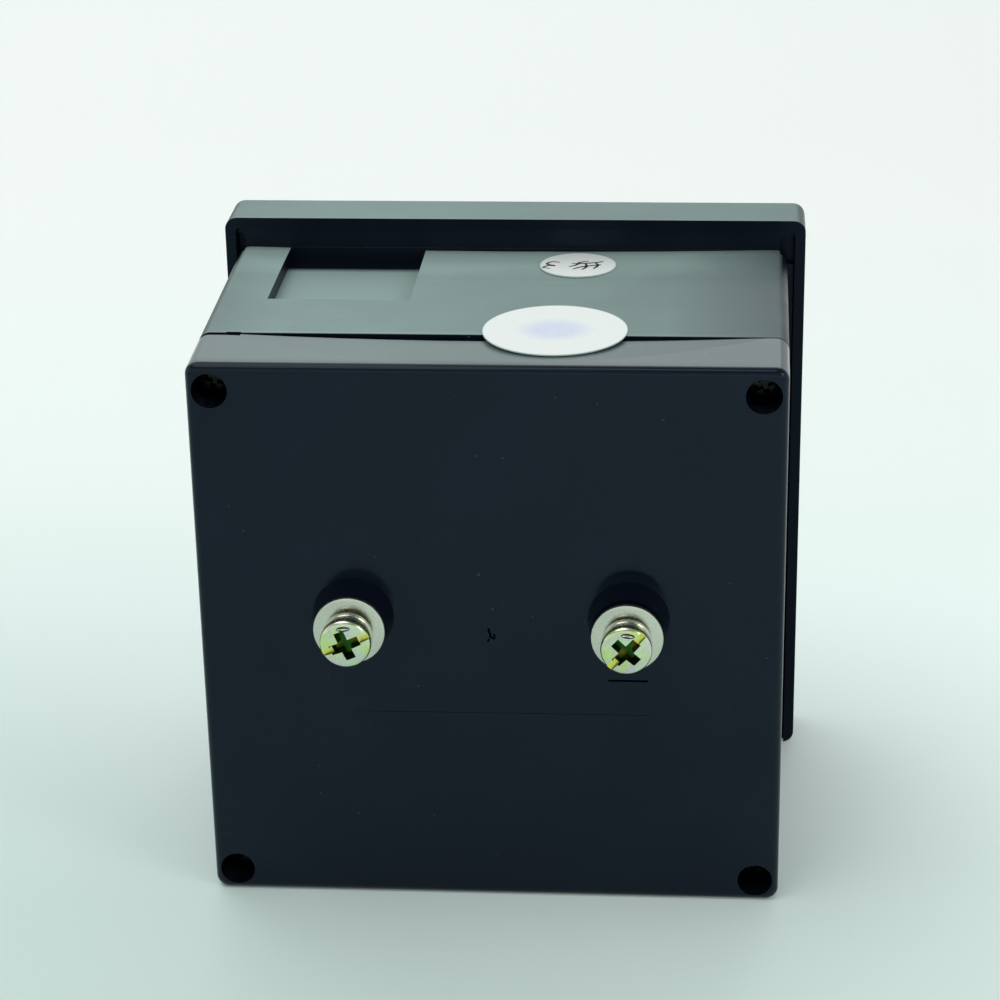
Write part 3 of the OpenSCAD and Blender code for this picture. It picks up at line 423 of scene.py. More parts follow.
def plate_film(name):
    """Uneven film on plated metal: masks of patches, blush and wear, and a height."""
    tree, n, source, sink = new_group(name, {"Vector": None, "Patch size": 1.0},
                                      ("Patches", "Blush", "Wear", "Height"))
    place = n.millimetres(source.outputs["Vector"])
    size = n.math("DIVIDE", 0.55, source.outputs["Patch size"])
    patches = n.band(n.noise(place, size, 3, 0.6), 0.38, 0.62)
    shifted = n.add("ShaderNodeMapping", {"Vector": place, "Location": (7.3, 2.1, 4.4)}).outputs[0]
    blush = n.band(n.noise(shifted, size, 2, 0.5), 0.45, 0.66)
    wear = n.band(n.noise(shifted, 3.1, 4, 0.7), 0.5, 0.72)
    height = n.noise(place, 5.0, 3, 0.6)
    n.fill(sink, {"Patches": patches, "Blush": blush, "Wear": wear, "Height": height})
    return tree


def start_material(name):
    """A material with its tree tools, its shader and object coordinates."""
    made = bpy.data.materials.new(name)
    made.use_nodes = True
    n = Nodes(made.node_tree)
    shader = made.node_tree.nodes["Principled BSDF"]
    place = n.add("ShaderNodeTexCoord").outputs["Object"]
    return made, n, shader, place


def bump(n, shader, height, strength, distance):
    node = n.add("ShaderNodeBump", {"Height": height, "Strength": strength, "Distance": distance})
    n.fill(shader, {"Normal": node.outputs[0]})


def moulded(name, base, rough, scratches=0.5, dust=0.5, film=(), shaded_bands=(), grain=0.0, specular=0.3):
    """Black moulded plastic with handling marks, and a pale film of dust and painted sheen in the
    bands of film.
    """
    made, n, shader, place = start_material(name)
    surface = n.add("ShaderNodeGroup", {"Vector": place, "Scratches": scratches, "Dust": dust},
                    node_tree=group("Moulding surface", moulding_surface))
    marks, specks, tone = (surface.outputs[k] for k in ("Marks", "Specks", "Tone"))
    colour = n.mix(n.band(tone, 0.35, 0.65), rgba(base), rgba(base, 1.4))
    matt = n.band(tone, 0.3, 0.7, rough * 0.85, rough * 1.2)
    # The pale film: dust and painted sheen on the tops, carrying the painted light and shade of its
    # bands.
    if film:
        share = dust_and_sheen_share(n, place, film, shaded_bands)
        cover = n.times(share, n.band(tone, 0.3, 0.7, *SHEEN_AND_DUST_COVER))
        cover = n.math("SUBTRACT", cover, n.times(marks, share, SCRATCH_BARE), clamp=True)
        colour = n.mix(cover, colour, rgba("film"))
        matt = n.math("ADD", matt, n.times(share, DUST_MATT), clamp=True)
    height = surface.outputs["Height"]
    if grain:
        spark = n.noise(n.millimetres(place), 3.2, 2, 0.6)
        height = n.math("ADD", height, n.times(spark, grain))
    n.fill(shader, {
        "Base Color": n.mix(n.times(specks, 0.5), colour, rgba("dust")),
        "Roughness": n.math("ADD", matt, n.times(specks, 0.25), clamp=True),
        "Specular IOR Level": specular, "Specular Tint": rgba("gloss"), "IOR": 1.5})
    bump(n, shader, height, 1.0, 0.02 * MM)
    return made


def plated(name, base, rough, film=None, second=None, patch=1.0, texture=0.5, wear=0.35):
    """Plated steel; a film and a second tint make it passivated."""
    made, n, shader, place = start_material(name)
    surface = n.add("ShaderNodeGroup", {"Vector": place, "Patch size": patch},
                    node_tree=group("Plate film", plate_film))
    tint = rgba(base)
    if film:
        tint = n.mix(n.band(surface.outputs["Patches"], 0, 1, 0.2, 1.0), tint, rgba(film))
        tint = n.mix(n.times(surface.outputs["Blush"], 0.75), tint, rgba(second))
    worn = surface.outputs["Wear"]
    n.fill(shader, {
        "Base Color": n.mix(n.times(worn, wear), tint, rgba(base, 0.45)),
        "Roughness": n.band(worn, 0, 1, rough, rough + 0.18), "Metallic": 1.0})
    bump(n, shader, surface.outputs["Height"], texture, 0.01 * MM)
    return made


def brushed(name, base, rough, stretch, metallic=1.0):
    """Metal with a drawn or ground grain."""
    made, n, shader, place = start_material(name)
    grain = n.noise(n.scaled(place, tuple(1000 * s for s in stretch)), 1.0, 4, 0.65)
    n.fill(shader, {
        "Base Color": n.mix(n.band(grain, 0.3, 0.7), rgba(base, 0.72), rgba(base)),
        "Roughness": n.band(grain, 0.3, 0.7, rough, rough + 0.2), "Metallic": metallic})
    bump(n, shader, grain, 0.5, 0.01 * MM)
    return made


def wound(name):
    """Enamelled wire laid side by side round the former."""
    made, n, shader, place = start_material(name)
    slanted = n.add("ShaderNodeMapping", {"Vector": place, "Rotation": (0, math.radians(45), 0)})
    wave = n.add("ShaderNodeTexWave", {
        "Vector": slanted.outputs[0], "Scale": 900.0, "Distortion": 0.4},
        wave_type="BANDS", bands_direction="Z")
    strand = wave.outputs["Fac"]
    n.fill(shader, {
        "Base Color": n.mix(strand, rgba("copper", 0.45), rgba("copper")),
        "Metallic": 0.7, "Roughness": 0.32, "Coat Weight": 0.6})
    bump(n, shader, strand, 0.9, 0.05 * MM)
    return made


def painted(name, base, rough, fleck=0.06):
    """Flat enamel, lacquer, ink or sleeve with a fine fleck."""
    made, n, shader, place = start_material(name)
    mottle = n.noise(n.millimetres(place), 1.6, 4, 0.6)
    n.fill(shader, {
        "Base Color": n.mix(n.band(mottle, 0.3, 0.7, 0, fleck * 4), rgba(base), rgba(base, 0.8)),
        "Roughness": n.band(mottle, 0.3, 0.7, rough, rough + 0.12)})
    bump(n, shader, mottle, 0.4, 0.01 * MM)
    return made


def clear_pane(name):
    """Clear moulded plastic with faint dust."""
    made, n, shader, place = start_material(name)
    haze = n.noise(n.millimetres(place), 0.08, 3, 0.6)
    n.fill(shader, {
        "Base Color": rgba("pane"), "IOR": 1.49, "Transmission Weight": 1.0,
        "Roughness": n.band(haze, 0.35, 0.7, 0.0, 0.035)})
    return made


def label_paper(name, centre, radius, patch):
    """Coated paper: fibre, a darker cut edge and a faded soft patch round its centre."""
    made, n, shader, place = start_material(name)
    local = n.vector("SUBTRACT", place, tuple(centre))
    flat = n.vector("MULTIPLY", local, (1, 1, 0))
    fibre = n.noise(n.millimetres(place), 1.1, 5, 0.65)
    base = n.mix(n.band(fibre, 0.35, 0.7, 0, 0.25), rgba("paper"), rgba("paper", 0.84))
    if patch:
        wide = n.size(n.vector("MULTIPLY", flat, (1.15, 1.35, 1)))
        soft = n.band(wide, 0.3 * radius, 0.66 * radius, 0.6, 0)
        base = n.mix(n.times(soft, n.band(fibre, 0.3, 0.75, 1, 0.55)), base, rgba("patch"))
    edge = n.band(n.size(flat), radius - CUT_EDGE, radius, 0, 0.35)
    n.fill(shader, {"Base Color": n.mix(edge, base, rgba("cut_edge")), "Roughness": 0.42})
    bump(n, shader, fibre, 0.35, 0.02 * MM)
    return made


# ---------------------------------------------------------------- mesh tools


def weld(bm):
    """Merges doubled points and turns the faces outward."""
    bmesh.ops.remove_doubles(bm, verts=bm.verts, dist=1e-7)
    bmesh.ops.recalc_face_normals(bm, faces=bm.faces)


def to_mesh(name, bm):
    """A new mesh from a bmesh, which is freed."""
    mesh = bpy.data.meshes.new(name)
    bm.to_mesh(mesh)
    bm.free()
    return mesh


def place_mesh(name, mesh, finish, body, node=None, smooth=35):
    """Gives a mesh its object, finish and body, and hides the CAD node that it stands for."""
    if smooth:
        mesh.shade_smooth()
        mesh.set_sharp_from_angle(angle=math.radians(smooth))
    piece = bpy.data.objects.new(name, mesh)
    bpy.context.scene.collection.objects.link(piece)
    if not mesh.materials:
        mesh.materials.append(finish)
    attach(piece, body)
    if node:
        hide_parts(node)
    return piece


def place_piece(name, bm, finish, body, node=None, smooth=35):
    """Turns a bmesh into a piece that rides on a body."""
    weld(bm)
    return place_mesh(name, to_mesh(name, bm), finish, body, node, smooth)


def place_print(name, bm, finish, way):
    """Places a flat print on the housing, with its faces turned that way."""
    for face in bm.faces:
        face.normal_update()
        if face.normal.dot(way) < 0:
            face.normal_flip()
    place_mesh(name, to_mesh(name, bm), finish, HOUSING, smooth=0)


def oblong(bm, matrix, width, height):
    """A flat rectangle that lies across Y before the matrix turns and moves it."""
    shape = ACROSS @ Matrix.Diagonal((width, height, 1, 1))
    bmesh.ops.create_grid(bm, x_segments=1, y_segments=1, size=0.5, matrix=matrix @ shape)


def dress(node, finish):
    """Puts a finish in every material slot of a CAD node."""
    mesh = NODES[node].data
    if not mesh.materials:
        mesh.materials.append(finish)
    for i in range(len(mesh.materials)):
        mesh.materials[i] = finish


def middle(node):
    """Lowest corner, highest corner and centre of a CAD node."""
    low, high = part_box(node)
    return low, high, (low + high) / 2


def turned(bm, profile, x, z, steps=64):
    """Spins points of radius and depth about the line x, z that runs along Y."""
    verts = [bm.verts.new((x + r, y, z)) for r, y in profile]
    edges = [bm.edges.new(pair) for pair in zip(verts, verts[1:])]
    bmesh.ops.spin(bm, geom=verts + edges, cent=(x, 0, z), axis=(0, 1, 0), dvec=(0, 0, 0),
                   angle=math.tau, steps=steps, use_merge=True, use_duplicate=False)


def cut(mesh, tools):
    """The mesh less each tool in turn."""
    for tool_bm in tools:
        bmesh.ops.recalc_face_normals(tool_bm, faces=tool_bm.faces)
        body = bpy.data.objects.new("cut_body", mesh)
        tool = bpy.data.objects.new("cut_tool", to_mesh("cut_tool", tool_bm))
        for part in (body, tool):
            bpy.context.scene.collection.objects.link(part)
        change = body.modifiers.new("cut", "BOOLEAN")
        change.operation = "DIFFERENCE"
        change.solver = "EXACT"
        change.object = tool
        bpy.context.view_layer.update()
        shaped = body.evaluated_get(bpy.context.evaluated_depsgraph_get())
        mesh = bpy.data.meshes.new_from_object(shaped)
        for part in (body, tool):
            bpy.data.objects.remove(part)
    mesh.materials.clear()
    return mesh


def box_tool(size, matrix, taper=1.0):
    """A box of that size at its middle, drawn in towards -Y."""
    bm = bmesh.new()
    bmesh.ops.create_cube(bm, size=1)
    for v in bm.verts:
        k = taper if v.co.y < 0 else 2 - taper
        v.co = Vector((v.co.x * size[0] * k, v.co.y * size[1], v.co.z * size[2] * k))
    bm.transform(matrix)
    return bm


def recess(x, y, z, turn, slot=True, shrink=1.0):
    """Tools for the recess of a head whose top is at y: a tapered cross and, on request, a slot."""
    s = sizes()
    face = Matrix.Translation((x, y, z)) @ Matrix.Rotation(turn, 4, "Y")
    tools = []
    if slot:
        tools.append(box_tool((SLOT_REACH, 2 * s.slot_depth, s.slot_width), face))
    size = (2 * s.cross_reach * shrink, 2 * s.cross_depth * shrink, s.cross_width * shrink)
    for quarter in (0, QUARTER):
        tools.append(box_tool(size, face @ Matrix.Rotation(quarter, 4, "Y"), RECESS_TAPER))
    return tools


def helix(bm, x, z, y0, y1, core, crest, pitch, steps=36):
    """A V thread along Y between two depths."""
    profile = ((core, 0), (crest, pitch * 0.45), (crest, pitch * 0.55), (core, pitch))
    verts = [bm.verts.new((x + r, y0 + y, z)) for r, y in profile]
    edges = [bm.edges.new(pair) for pair in zip(verts, verts[1:])]
    turns = int((y1 - y0) / pitch) - 1
    bmesh.ops.spin(bm, geom=verts + edges, cent=(x, 0, z), axis=(0, 1, 0),
                   dvec=(0, pitch / steps, 0), angle=math.tau * turns, steps=steps * turns,
                   use_merge=False, use_duplicate=False)


def smooth_line(points, steps=6):
    """Points of a smooth curve through the given ones."""
    ends = [points[0]] + list(points) + [points[-1]]
    curve = []
    for a, b, c, d in zip(ends, ends[1:], ends[2:], ends[3:]):
        a, b, c, d = map(Vector, (a, b, c, d))
        for i in range(steps):
            t = i / steps
            curve.append(0.5 * (2 * b + (c - a) * t + (2 * a - 5 * b + 4 * c - d) * t * t
                                + (3 * b - a - 3 * c + d) * t ** 3))
    curve.append(Vector(points[-1]))
    return curve


# ---------------------------------------------------------------- operators


class PM_OT_mouldings(bpy.types.Operator):
    """Gives the bezel, case, cover, mask, adjuster and window their finishes"""

    bl_idname = "pm.mouldings"
    bl_label = "Finish the mouldings"

    def execute(self, context):
        finishes = {
            "bezel": moulded("bezel moulding", "plastic", 0.3, dust=0.9, film=BEZEL_SHEEN_AND_DUST,
                             specular=0.16),
            "case": moulded("case moulding", "plastic", 0.36, 1.4, 1.5, CASE_SHEEN_AND_DUST, POCKET_END_SHADE,
                            specular=0.24),
            "rear_cover": moulded("cover moulding", "plastic", 0.13, 0.6, 0.2, COVER_SHEEN_AND_DUST),
            "lower_mask": moulded("mask moulding", "mask", 0.5, 0.2, 0.3, grain=1.6),
            "zero_adjuster": moulded("adjuster moulding", "mask", 0.3, 0.2, 0.2),
            "window": clear_pane("clear pane"),
        }
        for node, finish in finishes.items():
            dress(node, finish)
        return {"FINISHED"}


class PM_OT_terminals(bpy.types.Operator):
    """Makes the terminal screws and their washers, and gives the bushes, nuts, tags, shunt and
    leads their finishes
    """

    bl_idname = "pm.terminals"
    bl_label = "Make the terminals"

    def execute(self, context):
        head_films_and_shades = (plated("passivated head", "zinc", 0.2, "passivate", "blush", 1.1, 0.3),
                 plated("pooled film and shade", "recess_film_and_shade", 0.3, "recess_film_and_shade", "driver_warm",
                        0.8, 0.3, 0.0),
                 plated("slot end film", "slot_end", 0.3, texture=0.3),
                 plated("brow shade", "shaded", 0.4))
        plain = plated("nickel washer", "nickel", 0.2, texture=0.1, wear=0.12)
        brass = brushed("bush brass", "brass", 0.25, (0.3, 4, 4))
        tinned = plated("tinned tag", "nickel", 0.35)
        for side in "ab":
            self.screw(side, head_films_and_shades)
            self.flat_washer(side, plain)
            self.spring_washer(side, plain)
            dress("terminal_bush_" + side, brass)
            dress("terminal_nut_" + side, plain)
            dress("solder_tag_" + side, tinned)
        dress("shunt_resistor", painted("resistor lacquer", "lacquer", 0.3))
        dress("lead_a", painted("red sleeve", "red_sleeve", 0.4))
        dress("lead_b", painted("black sleeve", "black_sleeve", 0.4))
        return {"FINISHED"}

    def screw(self, side, head_films_and_shades):
        """A domed head with slot, cross and forming mark, on a threaded shank."""
        s = sizes()
        node = "terminal_screw_" + side
        low, high, mid = middle(node)
        r = (high.x - low.x) / 2
        top = high.y
        under = top - HEAD_DEPTH
        shoulder = top - HEAD_DOME - s.head_edge
        arc = [(r - s.head_edge * (1 - math.cos(t)),
                top - HEAD_DOME - s.head_edge * (1 - math.sin(t)))
               for t in (QUARTER * i / 6 for i in range(1, 7))]
        dome = [((r - s.head_edge) * (1 - i / 6), top - HEAD_DOME * (1 - i / 6) ** 2)
                for i in range(1, 7)]
        bm = bmesh.new()
        turned(bm, [(0, under), (r - HEAD_CHAMFER, under), (r, under + HEAD_CHAMFER),
                    (r, shoulder)] + arc + dome, mid.x, mid.z)
        weld(bm)
        turn = math.radians(RECESS_TURN[side])
        tools = recess(mid.x, top, mid.z, turn) + [self.brow(mid.x, top, mid.z, r, side)]
        mesh = cut(to_mesh(node, bm), tools)
        bm = bmesh.new()
        bm.from_mesh(mesh)
        bpy.data.meshes.remove(mesh)
        core = SHANK_RADIUS * 0.8
        turned(bm, [(0, low.y), (SHANK_RADIUS * 0.78, low.y), (core, low.y + 0.2 * MM),
                    (core, under + 0.05 * MM), (0, under + 0.05 * MM)], mid.x, mid.z, 36)
        helix(bm, mid.x, mid.z, low.y + 0.15 * MM, under, SHANK_RADIUS * 0.79, SHANK_RADIUS,
              s.thread_pitch)
        piece = place_piece(node + "_piece", bm, head_films_and_shades[0], "screw_" + side, node,
                            smooth=28)
        for film in head_films_and_shades[1:]:
            piece.data.materials.append(film)
        self.film_and_shade_recesses(piece.data, mid, r, top)

    def brow(self, x, y, z, r, side):
        """The shallow forming mark near the head's upper edge."""
        lean = math.radians(BROW_LEAN[side])
        spot = Matrix.Translation((x, y - BROW_SINK, z)) @ Matrix.Rotation(lean, 4, "Y")
        shape = Matrix.Diagonal((BROW_WIDE * r, BROW_DEPTH, BROW_TALL * r, 1))
        bm = bmesh.new()
        bmesh.ops.create_uvsphere(bm, u_segments=24, v_segments=12, radius=1)
        bm.transform(spot @ Matrix.Translation((0, 0, BROW_RISE * r)) @ shape)
        return bm

    def film_and_shade_recesses(self, mesh, mid, r, top):
        """Gives the faces below the head's skin their finishes: film pooled in the recess, also
        painted shade on its walls, the slot ends' film, and painted shade in the forming mark.
        """
        s = sizes()
        for face in mesh.polygons:
            out = Vector((face.center.x - mid.x, 0, face.center.z - mid.z))
            rim = max(0, out.length - r + s.head_edge)
            skin = HEAD_DOME * min(1, out.length / (r - s.head_edge)) ** 2
            skin += s.head_edge - math.sqrt(max(0, s.head_edge ** 2 - rim ** 2))
            below = top - HEAD_DEPTH < face.center.y < top - skin - RECESS_SKIN
            inside = face.normal.dot(out.normalized()) < 0.3 and out.length < r - 0.02 * MM
            if not (below and inside):
                continue
            if out.z > 0.6 * r and abs(out.x) < 0.35 * r:
                # Painted shade in the forming mark
                face.material_index = BROW_SHADE
            elif out.length > 1.02 * s.cross_reach and face.normal.y > 0.7:
                face.material_index = SLOT_END
            else:
                # Film pooled in the recess, which also paints the shade of its walls
                face.material_index = POOLED_FILM_AND_SHADE

    def flat_washer(self, side, finish):
        """A washer with stamped, softened edges."""
        node = "flat_washer_" + side
        low, high, mid = middle(node)
        inner, outer, soft = WASHER_BORE, (high.x - low.x) / 2, WASHER_SOFT
        loop = [(inner, low.y), (inner, high.y - soft), (inner + soft, high.y),
                (outer - soft * 1.2, high.y), (outer - soft * 0.3, high.y - soft * 0.45),
                (outer, high.y - soft * 1.3), (outer, low.y + soft * 0.5),
                (outer - soft * 0.5, low.y), (inner, low.y)]
        bm = bmesh.new()
        turned(bm, loop, mid.x, mid.z, 96)
        place_piece(node + "_piece", bm, finish, "washers_" + side, node, smooth=40)

    def spring_washer(self, side, finish):
        """A ring of square wire that rises over its nearly full turn."""
        node = "spring_washer_" + side
        low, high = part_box(node)
        thick, soft = SPRING_THICK, SPRING_SOFT
        rise = high.y - low.y - thick
        inner, outer = WASHER_BORE, (high.z - low.z) / 2
        corners = [(inner, soft), (inner, thick - soft), (inner + soft, thick),
                   (outer - soft, thick), (outer, thick - soft), (outer, soft),
                   (outer - soft, 0), (inner + soft, 0)]
        bm = bmesh.new()
        centre = middle("terminal_screw_" + side)[2]
        verts = [bm.verts.new((centre.x + r, low.y + y, centre.z)) for r, y in corners]
        start = bm.faces.new(verts)
        steps = 72
        bmesh.ops.spin(bm, geom=[start], cent=centre, axis=(0, 1, 0), dvec=(0, rise / steps, 0),
                       angle=math.radians(SPRING_SPAN), steps=steps,
                       use_merge=False, use_duplicate=False)
        place_piece(node + "_piece", bm, finish, "washers_" + side, node)


class PM_OT_cover_screws(bpy.types.Operator):
    """Makes the four cross-headed screws in the corner wells"""

    bl_idname = "pm.cover_screws"
    bl_label = "Make the cover screws"

    def execute(self, context):
        # Painted shade: the screws are near black for the shade deep in their wells
        finish = plated("shaded well screw", "shaded", 0.35)
        low, high, mid = middle("cover_screws")
        top = high.y
        crown = [(r * MM, top - depth * MM) for r, depth in WELL_CROWN]
        profile = [(0, low.y), (1.2 * MM, low.y), (WELL_SHANK, low.y + 0.4 * MM),
                   (WELL_SHANK, crown[0][1])] + crown
        all_screws = bmesh.new()
        for sx in (-1, 1):
            for sz in (-1, 1):
                x = mid.x + sx * ((high.x - low.x) / 2 - WELL_HEAD)
                z = mid.z + sz * ((high.z - low.z) / 2 - WELL_HEAD)
                bm = bmesh.new()
                turned(bm, profile, x, z, 40)
                weld(bm)
                turn = 0.6 + 0.5 * sx + 0.3 * sz  # each stopped at an angle of its own
                tools = recess(x, top, z, turn, slot=False, shrink=WELL_SHRINK)
                shaped = cut(to_mesh("cover_screw", bm), tools)
                all_screws.from_mesh(shaped)
                bpy.data.meshes.remove(shaped)
        place_piece("cover_screws_piece", all_screws, finish, HOUSING, "cover_screws",
                    smooth=30)
        return {"FINISHED"}


class PM_OT_labels(bpy.types.Operator):
    """Finishes the seal and the inspection label and draws its pen strokes"""

    bl_idname = "pm.labels"
    bl_label = "Finish the labels"

    def execute(self, context):
        for node, patch in (("seal_label", True), ("inspection_label", False)):
            low, high, mid = middle(node)
            radius = (high.x - low.x) / 2
            dress(node, label_paper(node.replace("_", " "), mid, radius, patch))
        self.pen_strokes()
        return {"FINISHED"}

    def pen_strokes(self):
        """A few plain strokes, widest at their middles, laid on the label's slope."""
        low, high, mid = middle("inspection_label")
        pen = painted("pen ink", "pen", 0.5)
        slope = (high.z - low.z - LABEL_THICK) / (high.y - low.y)
        bm = bmesh.new()
        for line in PEN_LINES:
            points = smooth_line([(PEN_SCALE * x * MM, PEN_SCALE * y * MM) for x, y in line])
            last = len(points) - 1
            left, right = [], []
            for i, p in enumerate(points):
                ahead = (points[min(i + 1, last)] - points[max(i - 1, 0)]).normalized()
                swell = 0.55 + 0.45 * math.sin(math.pi * i / last)
                side = Vector((-ahead.y, ahead.x)) * PEN_HALF * swell
                for store, q in ((left, p + side), (right, p - side)):
                    z = mid.z + PEN_LIFT + q.y * slope
                    store.append(bm.verts.new((mid.x + q.x, mid.y + q.y, z)))
            for i in range(last):
                bm.faces.new((left[i], right[i], right[i + 1], left[i + 1]))
        place_print("pen_strokes", bm, pen, Vector((0, 0, 1)))


class PM_OT_dial(bpy.types.Operator):
    """Prints the dial: arc, divisions, plain numbers and the unit letter"""

    bl_idname = "pm.dial"
    bl_label = "Print the dial"

    def execute(self, context):
        s = sizes()
        dress("dial_plate", painted("dial enamel", "dial", 0.45, 0.02))
        ink = painted("dial ink", "ink", 0.5)
        hinge = next(j for j in frame["joints"] if j["name"] == "pointer_turn")
        radius = s.scale_radius
        self.axis_z = hinge["pos_m"][2]
        self.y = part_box("dial_plate")[0].y - s.print_height
        bm = bmesh.new()
        for inner, outer in (OUTER_ARC, INNER_ARC):
            self.arc(bm, radius - inner, radius - outer)
        for i in range(s.scale_parts + 1):
            angle = math.radians(-SCALE_HALF + 2 * SCALE_HALF * i / s.scale_parts)
            every, past, width = next(d for d in DIVISIONS if i % d[0] == 0)
            inner = OUTER_ARC[0] if every == 1 else INNER_ARC[0]
            self.tick(bm, radius - inner, radius + past * MM, angle, width * MM)
        place_print("dial_scale", bm, ink, Vector((0, -1, 0)))
        for i, text in enumerate(NUMBERS):
            angle = math.radians(-SCALE_HALF + 2 * SCALE_HALF * i / (len(NUMBERS) - 1))
            self.letter("dial_number_" + text, text, NUMBER_HEIGHT, radius + NUMBER_REACH, angle,
                        ink)
        self.letter("dial_unit", "A", UNIT_HEIGHT, UNIT_RADIUS, 0, ink)
        dress("dial_screws", plated("dial screw plate", "nickel", 0.25))
        return {"FINISHED"}

    def arc(self, bm, inner, outer):
        """A band round the pointer's axis, over the scale's angle."""
        start, stop = math.radians(-SCALE_HALF), math.radians(SCALE_HALF)
        first = [bm.verts.new((r * math.sin(start), self.y, self.axis_z + r * math.cos(start)))
                 for r in (inner, outer)]
        edge = bm.edges.new(first)
        bmesh.ops.spin(bm, geom=first + [edge], cent=(0, self.y, self.axis_z), axis=(0, 1, 0),
                       dvec=(0, 0, 0), angle=stop - start, steps=2 * SCALE_HALF,
                       use_merge=False, use_duplicate=False)

    def tick(self, bm, inner, outer, angle, width):
        """A line across the arc at that angle."""
        turn = Matrix.Translation((0, self.y, self.axis_z)) @ Matrix.Rotation(angle, 4, "Y")
        oblong(bm, turn @ Matrix.Translation((0, 0, (inner + outer) / 2)), width, outer - inner)

    def letter(self, name, text, height, r, angle, ink):
        """Text centred at a radius and an angle, as a flat mesh."""
        curve = bpy.data.curves.new(name, "FONT")
        curve.body = text
        curve.size = height
        curve.align_x = "CENTER"
        curve.align_y = "CENTER"
        holder = bpy.data.objects.new(name, curve)
        bpy.context.scene.collection.objects.link(holder)
        bpy.context.view_layer.update()
        shaped = holder.evaluated_get(bpy.context.evaluated_depsgraph_get())
        mesh = bpy.data.meshes.new_from_object(shaped)
        bpy.data.objects.remove(holder)
        spot = (r * math.sin(angle), self.y, self.axis_z + r * math.cos(angle))
        mesh.transform(Matrix.Translation(spot) @ Matrix.Rotation(angle, 4, "Y") @ ACROSS)
        mesh.materials.clear()
        place_mesh(name, mesh, ink, HOUSING, smooth=0)


class PM_OT_movement(bpy.types.Operator):
    """Gives the parts of the movement their metals"""

    bl_idname = "pm.movement"
    bl_label = "Finish the movement"

    def execute(self, context):
        alloy = brushed("cast alloy", "alloy", 0.38, (1.2, 1.2, 1.2))
        iron = brushed("plated iron", "iron", 0.3, (0.4, 3, 3))
        magnet = brushed("ground magnet", "mask", 0.4, (3, 0.4, 3), metallic=0.6)
        brass = brushed("turned brass", "brass", 0.22, (0.5, 5, 5))
        steel = brushed("pivot steel", "alloy", 0.12, (5, 0.6, 5))
        bronze = brushed("spring bronze", "brass", 0.2, (4, 0.5, 4))
        black = painted("pointer black", "pointer", 0.42)
        for finish, names in (
                (alloy, "movement_frame coil_former"),
                (iron, "yoke pole_shoe_left pole_shoe_right iron_core"),
                (magnet, "magnet_left magnet_right"),
                (brass, "core_pin front_bridge rear_bridge front_jewel_screw rear_jewel_screw"),
                (brass, "zero_lever balance_weights"),
                (steel, "front_staff rear_staff"),
                (bronze, "front_hairspring rear_hairspring"),
                (black, "pointer"),
                (plated("frame screw plate", "nickel", 0.28), "movement_screws"),
                (wound("winding wire"), "coil_winding")):
            for node in names.split():
                dress(node, finish)
        return {"FINISHED"}


class PM_OT_rear_marks(bpy.types.Operator):
    """Adds the polarity dash, the gate mark and the insert line to the rear face"""

    bl_idname = "pm.rear_marks"
    bl_label = "Add the rear marks"

    def execute(self, context):
        dark = painted("mark shade", "mark", 0.6)
        shader = dark.node_tree.nodes["Principled BSDF"]
        shader.inputs["Specular IOR Level"].default_value = 0
        bm = bmesh.new()
        for x, z, width, height, turn in REAR_MARKS:
            spot = Matrix.Translation((x * MM, REAR_FACE + MARK_LIFT, z * MM))
            lean = Matrix.Rotation(math.radians(turn), 4, "Y")
            oblong(bm, spot @ lean, width * MM, height * MM)
        place_print("rear_marks", bm, dark, Vector((0, 1, 0)))
        return {"FINISHED"}


def seen_directly(n):
    """One for what is seen straight, in a gloss or through a pane, and nought for the lighting."""
    path = n.add("ShaderNodeLightPath")
    seen = n.math("ADD", path.outputs["Is Camera Ray"], path.outputs["Is Transmission Ray"],
                  clamp=True)
    return n.math("ADD", seen, path.outputs["Is Glossy Ray"], clamp=True)


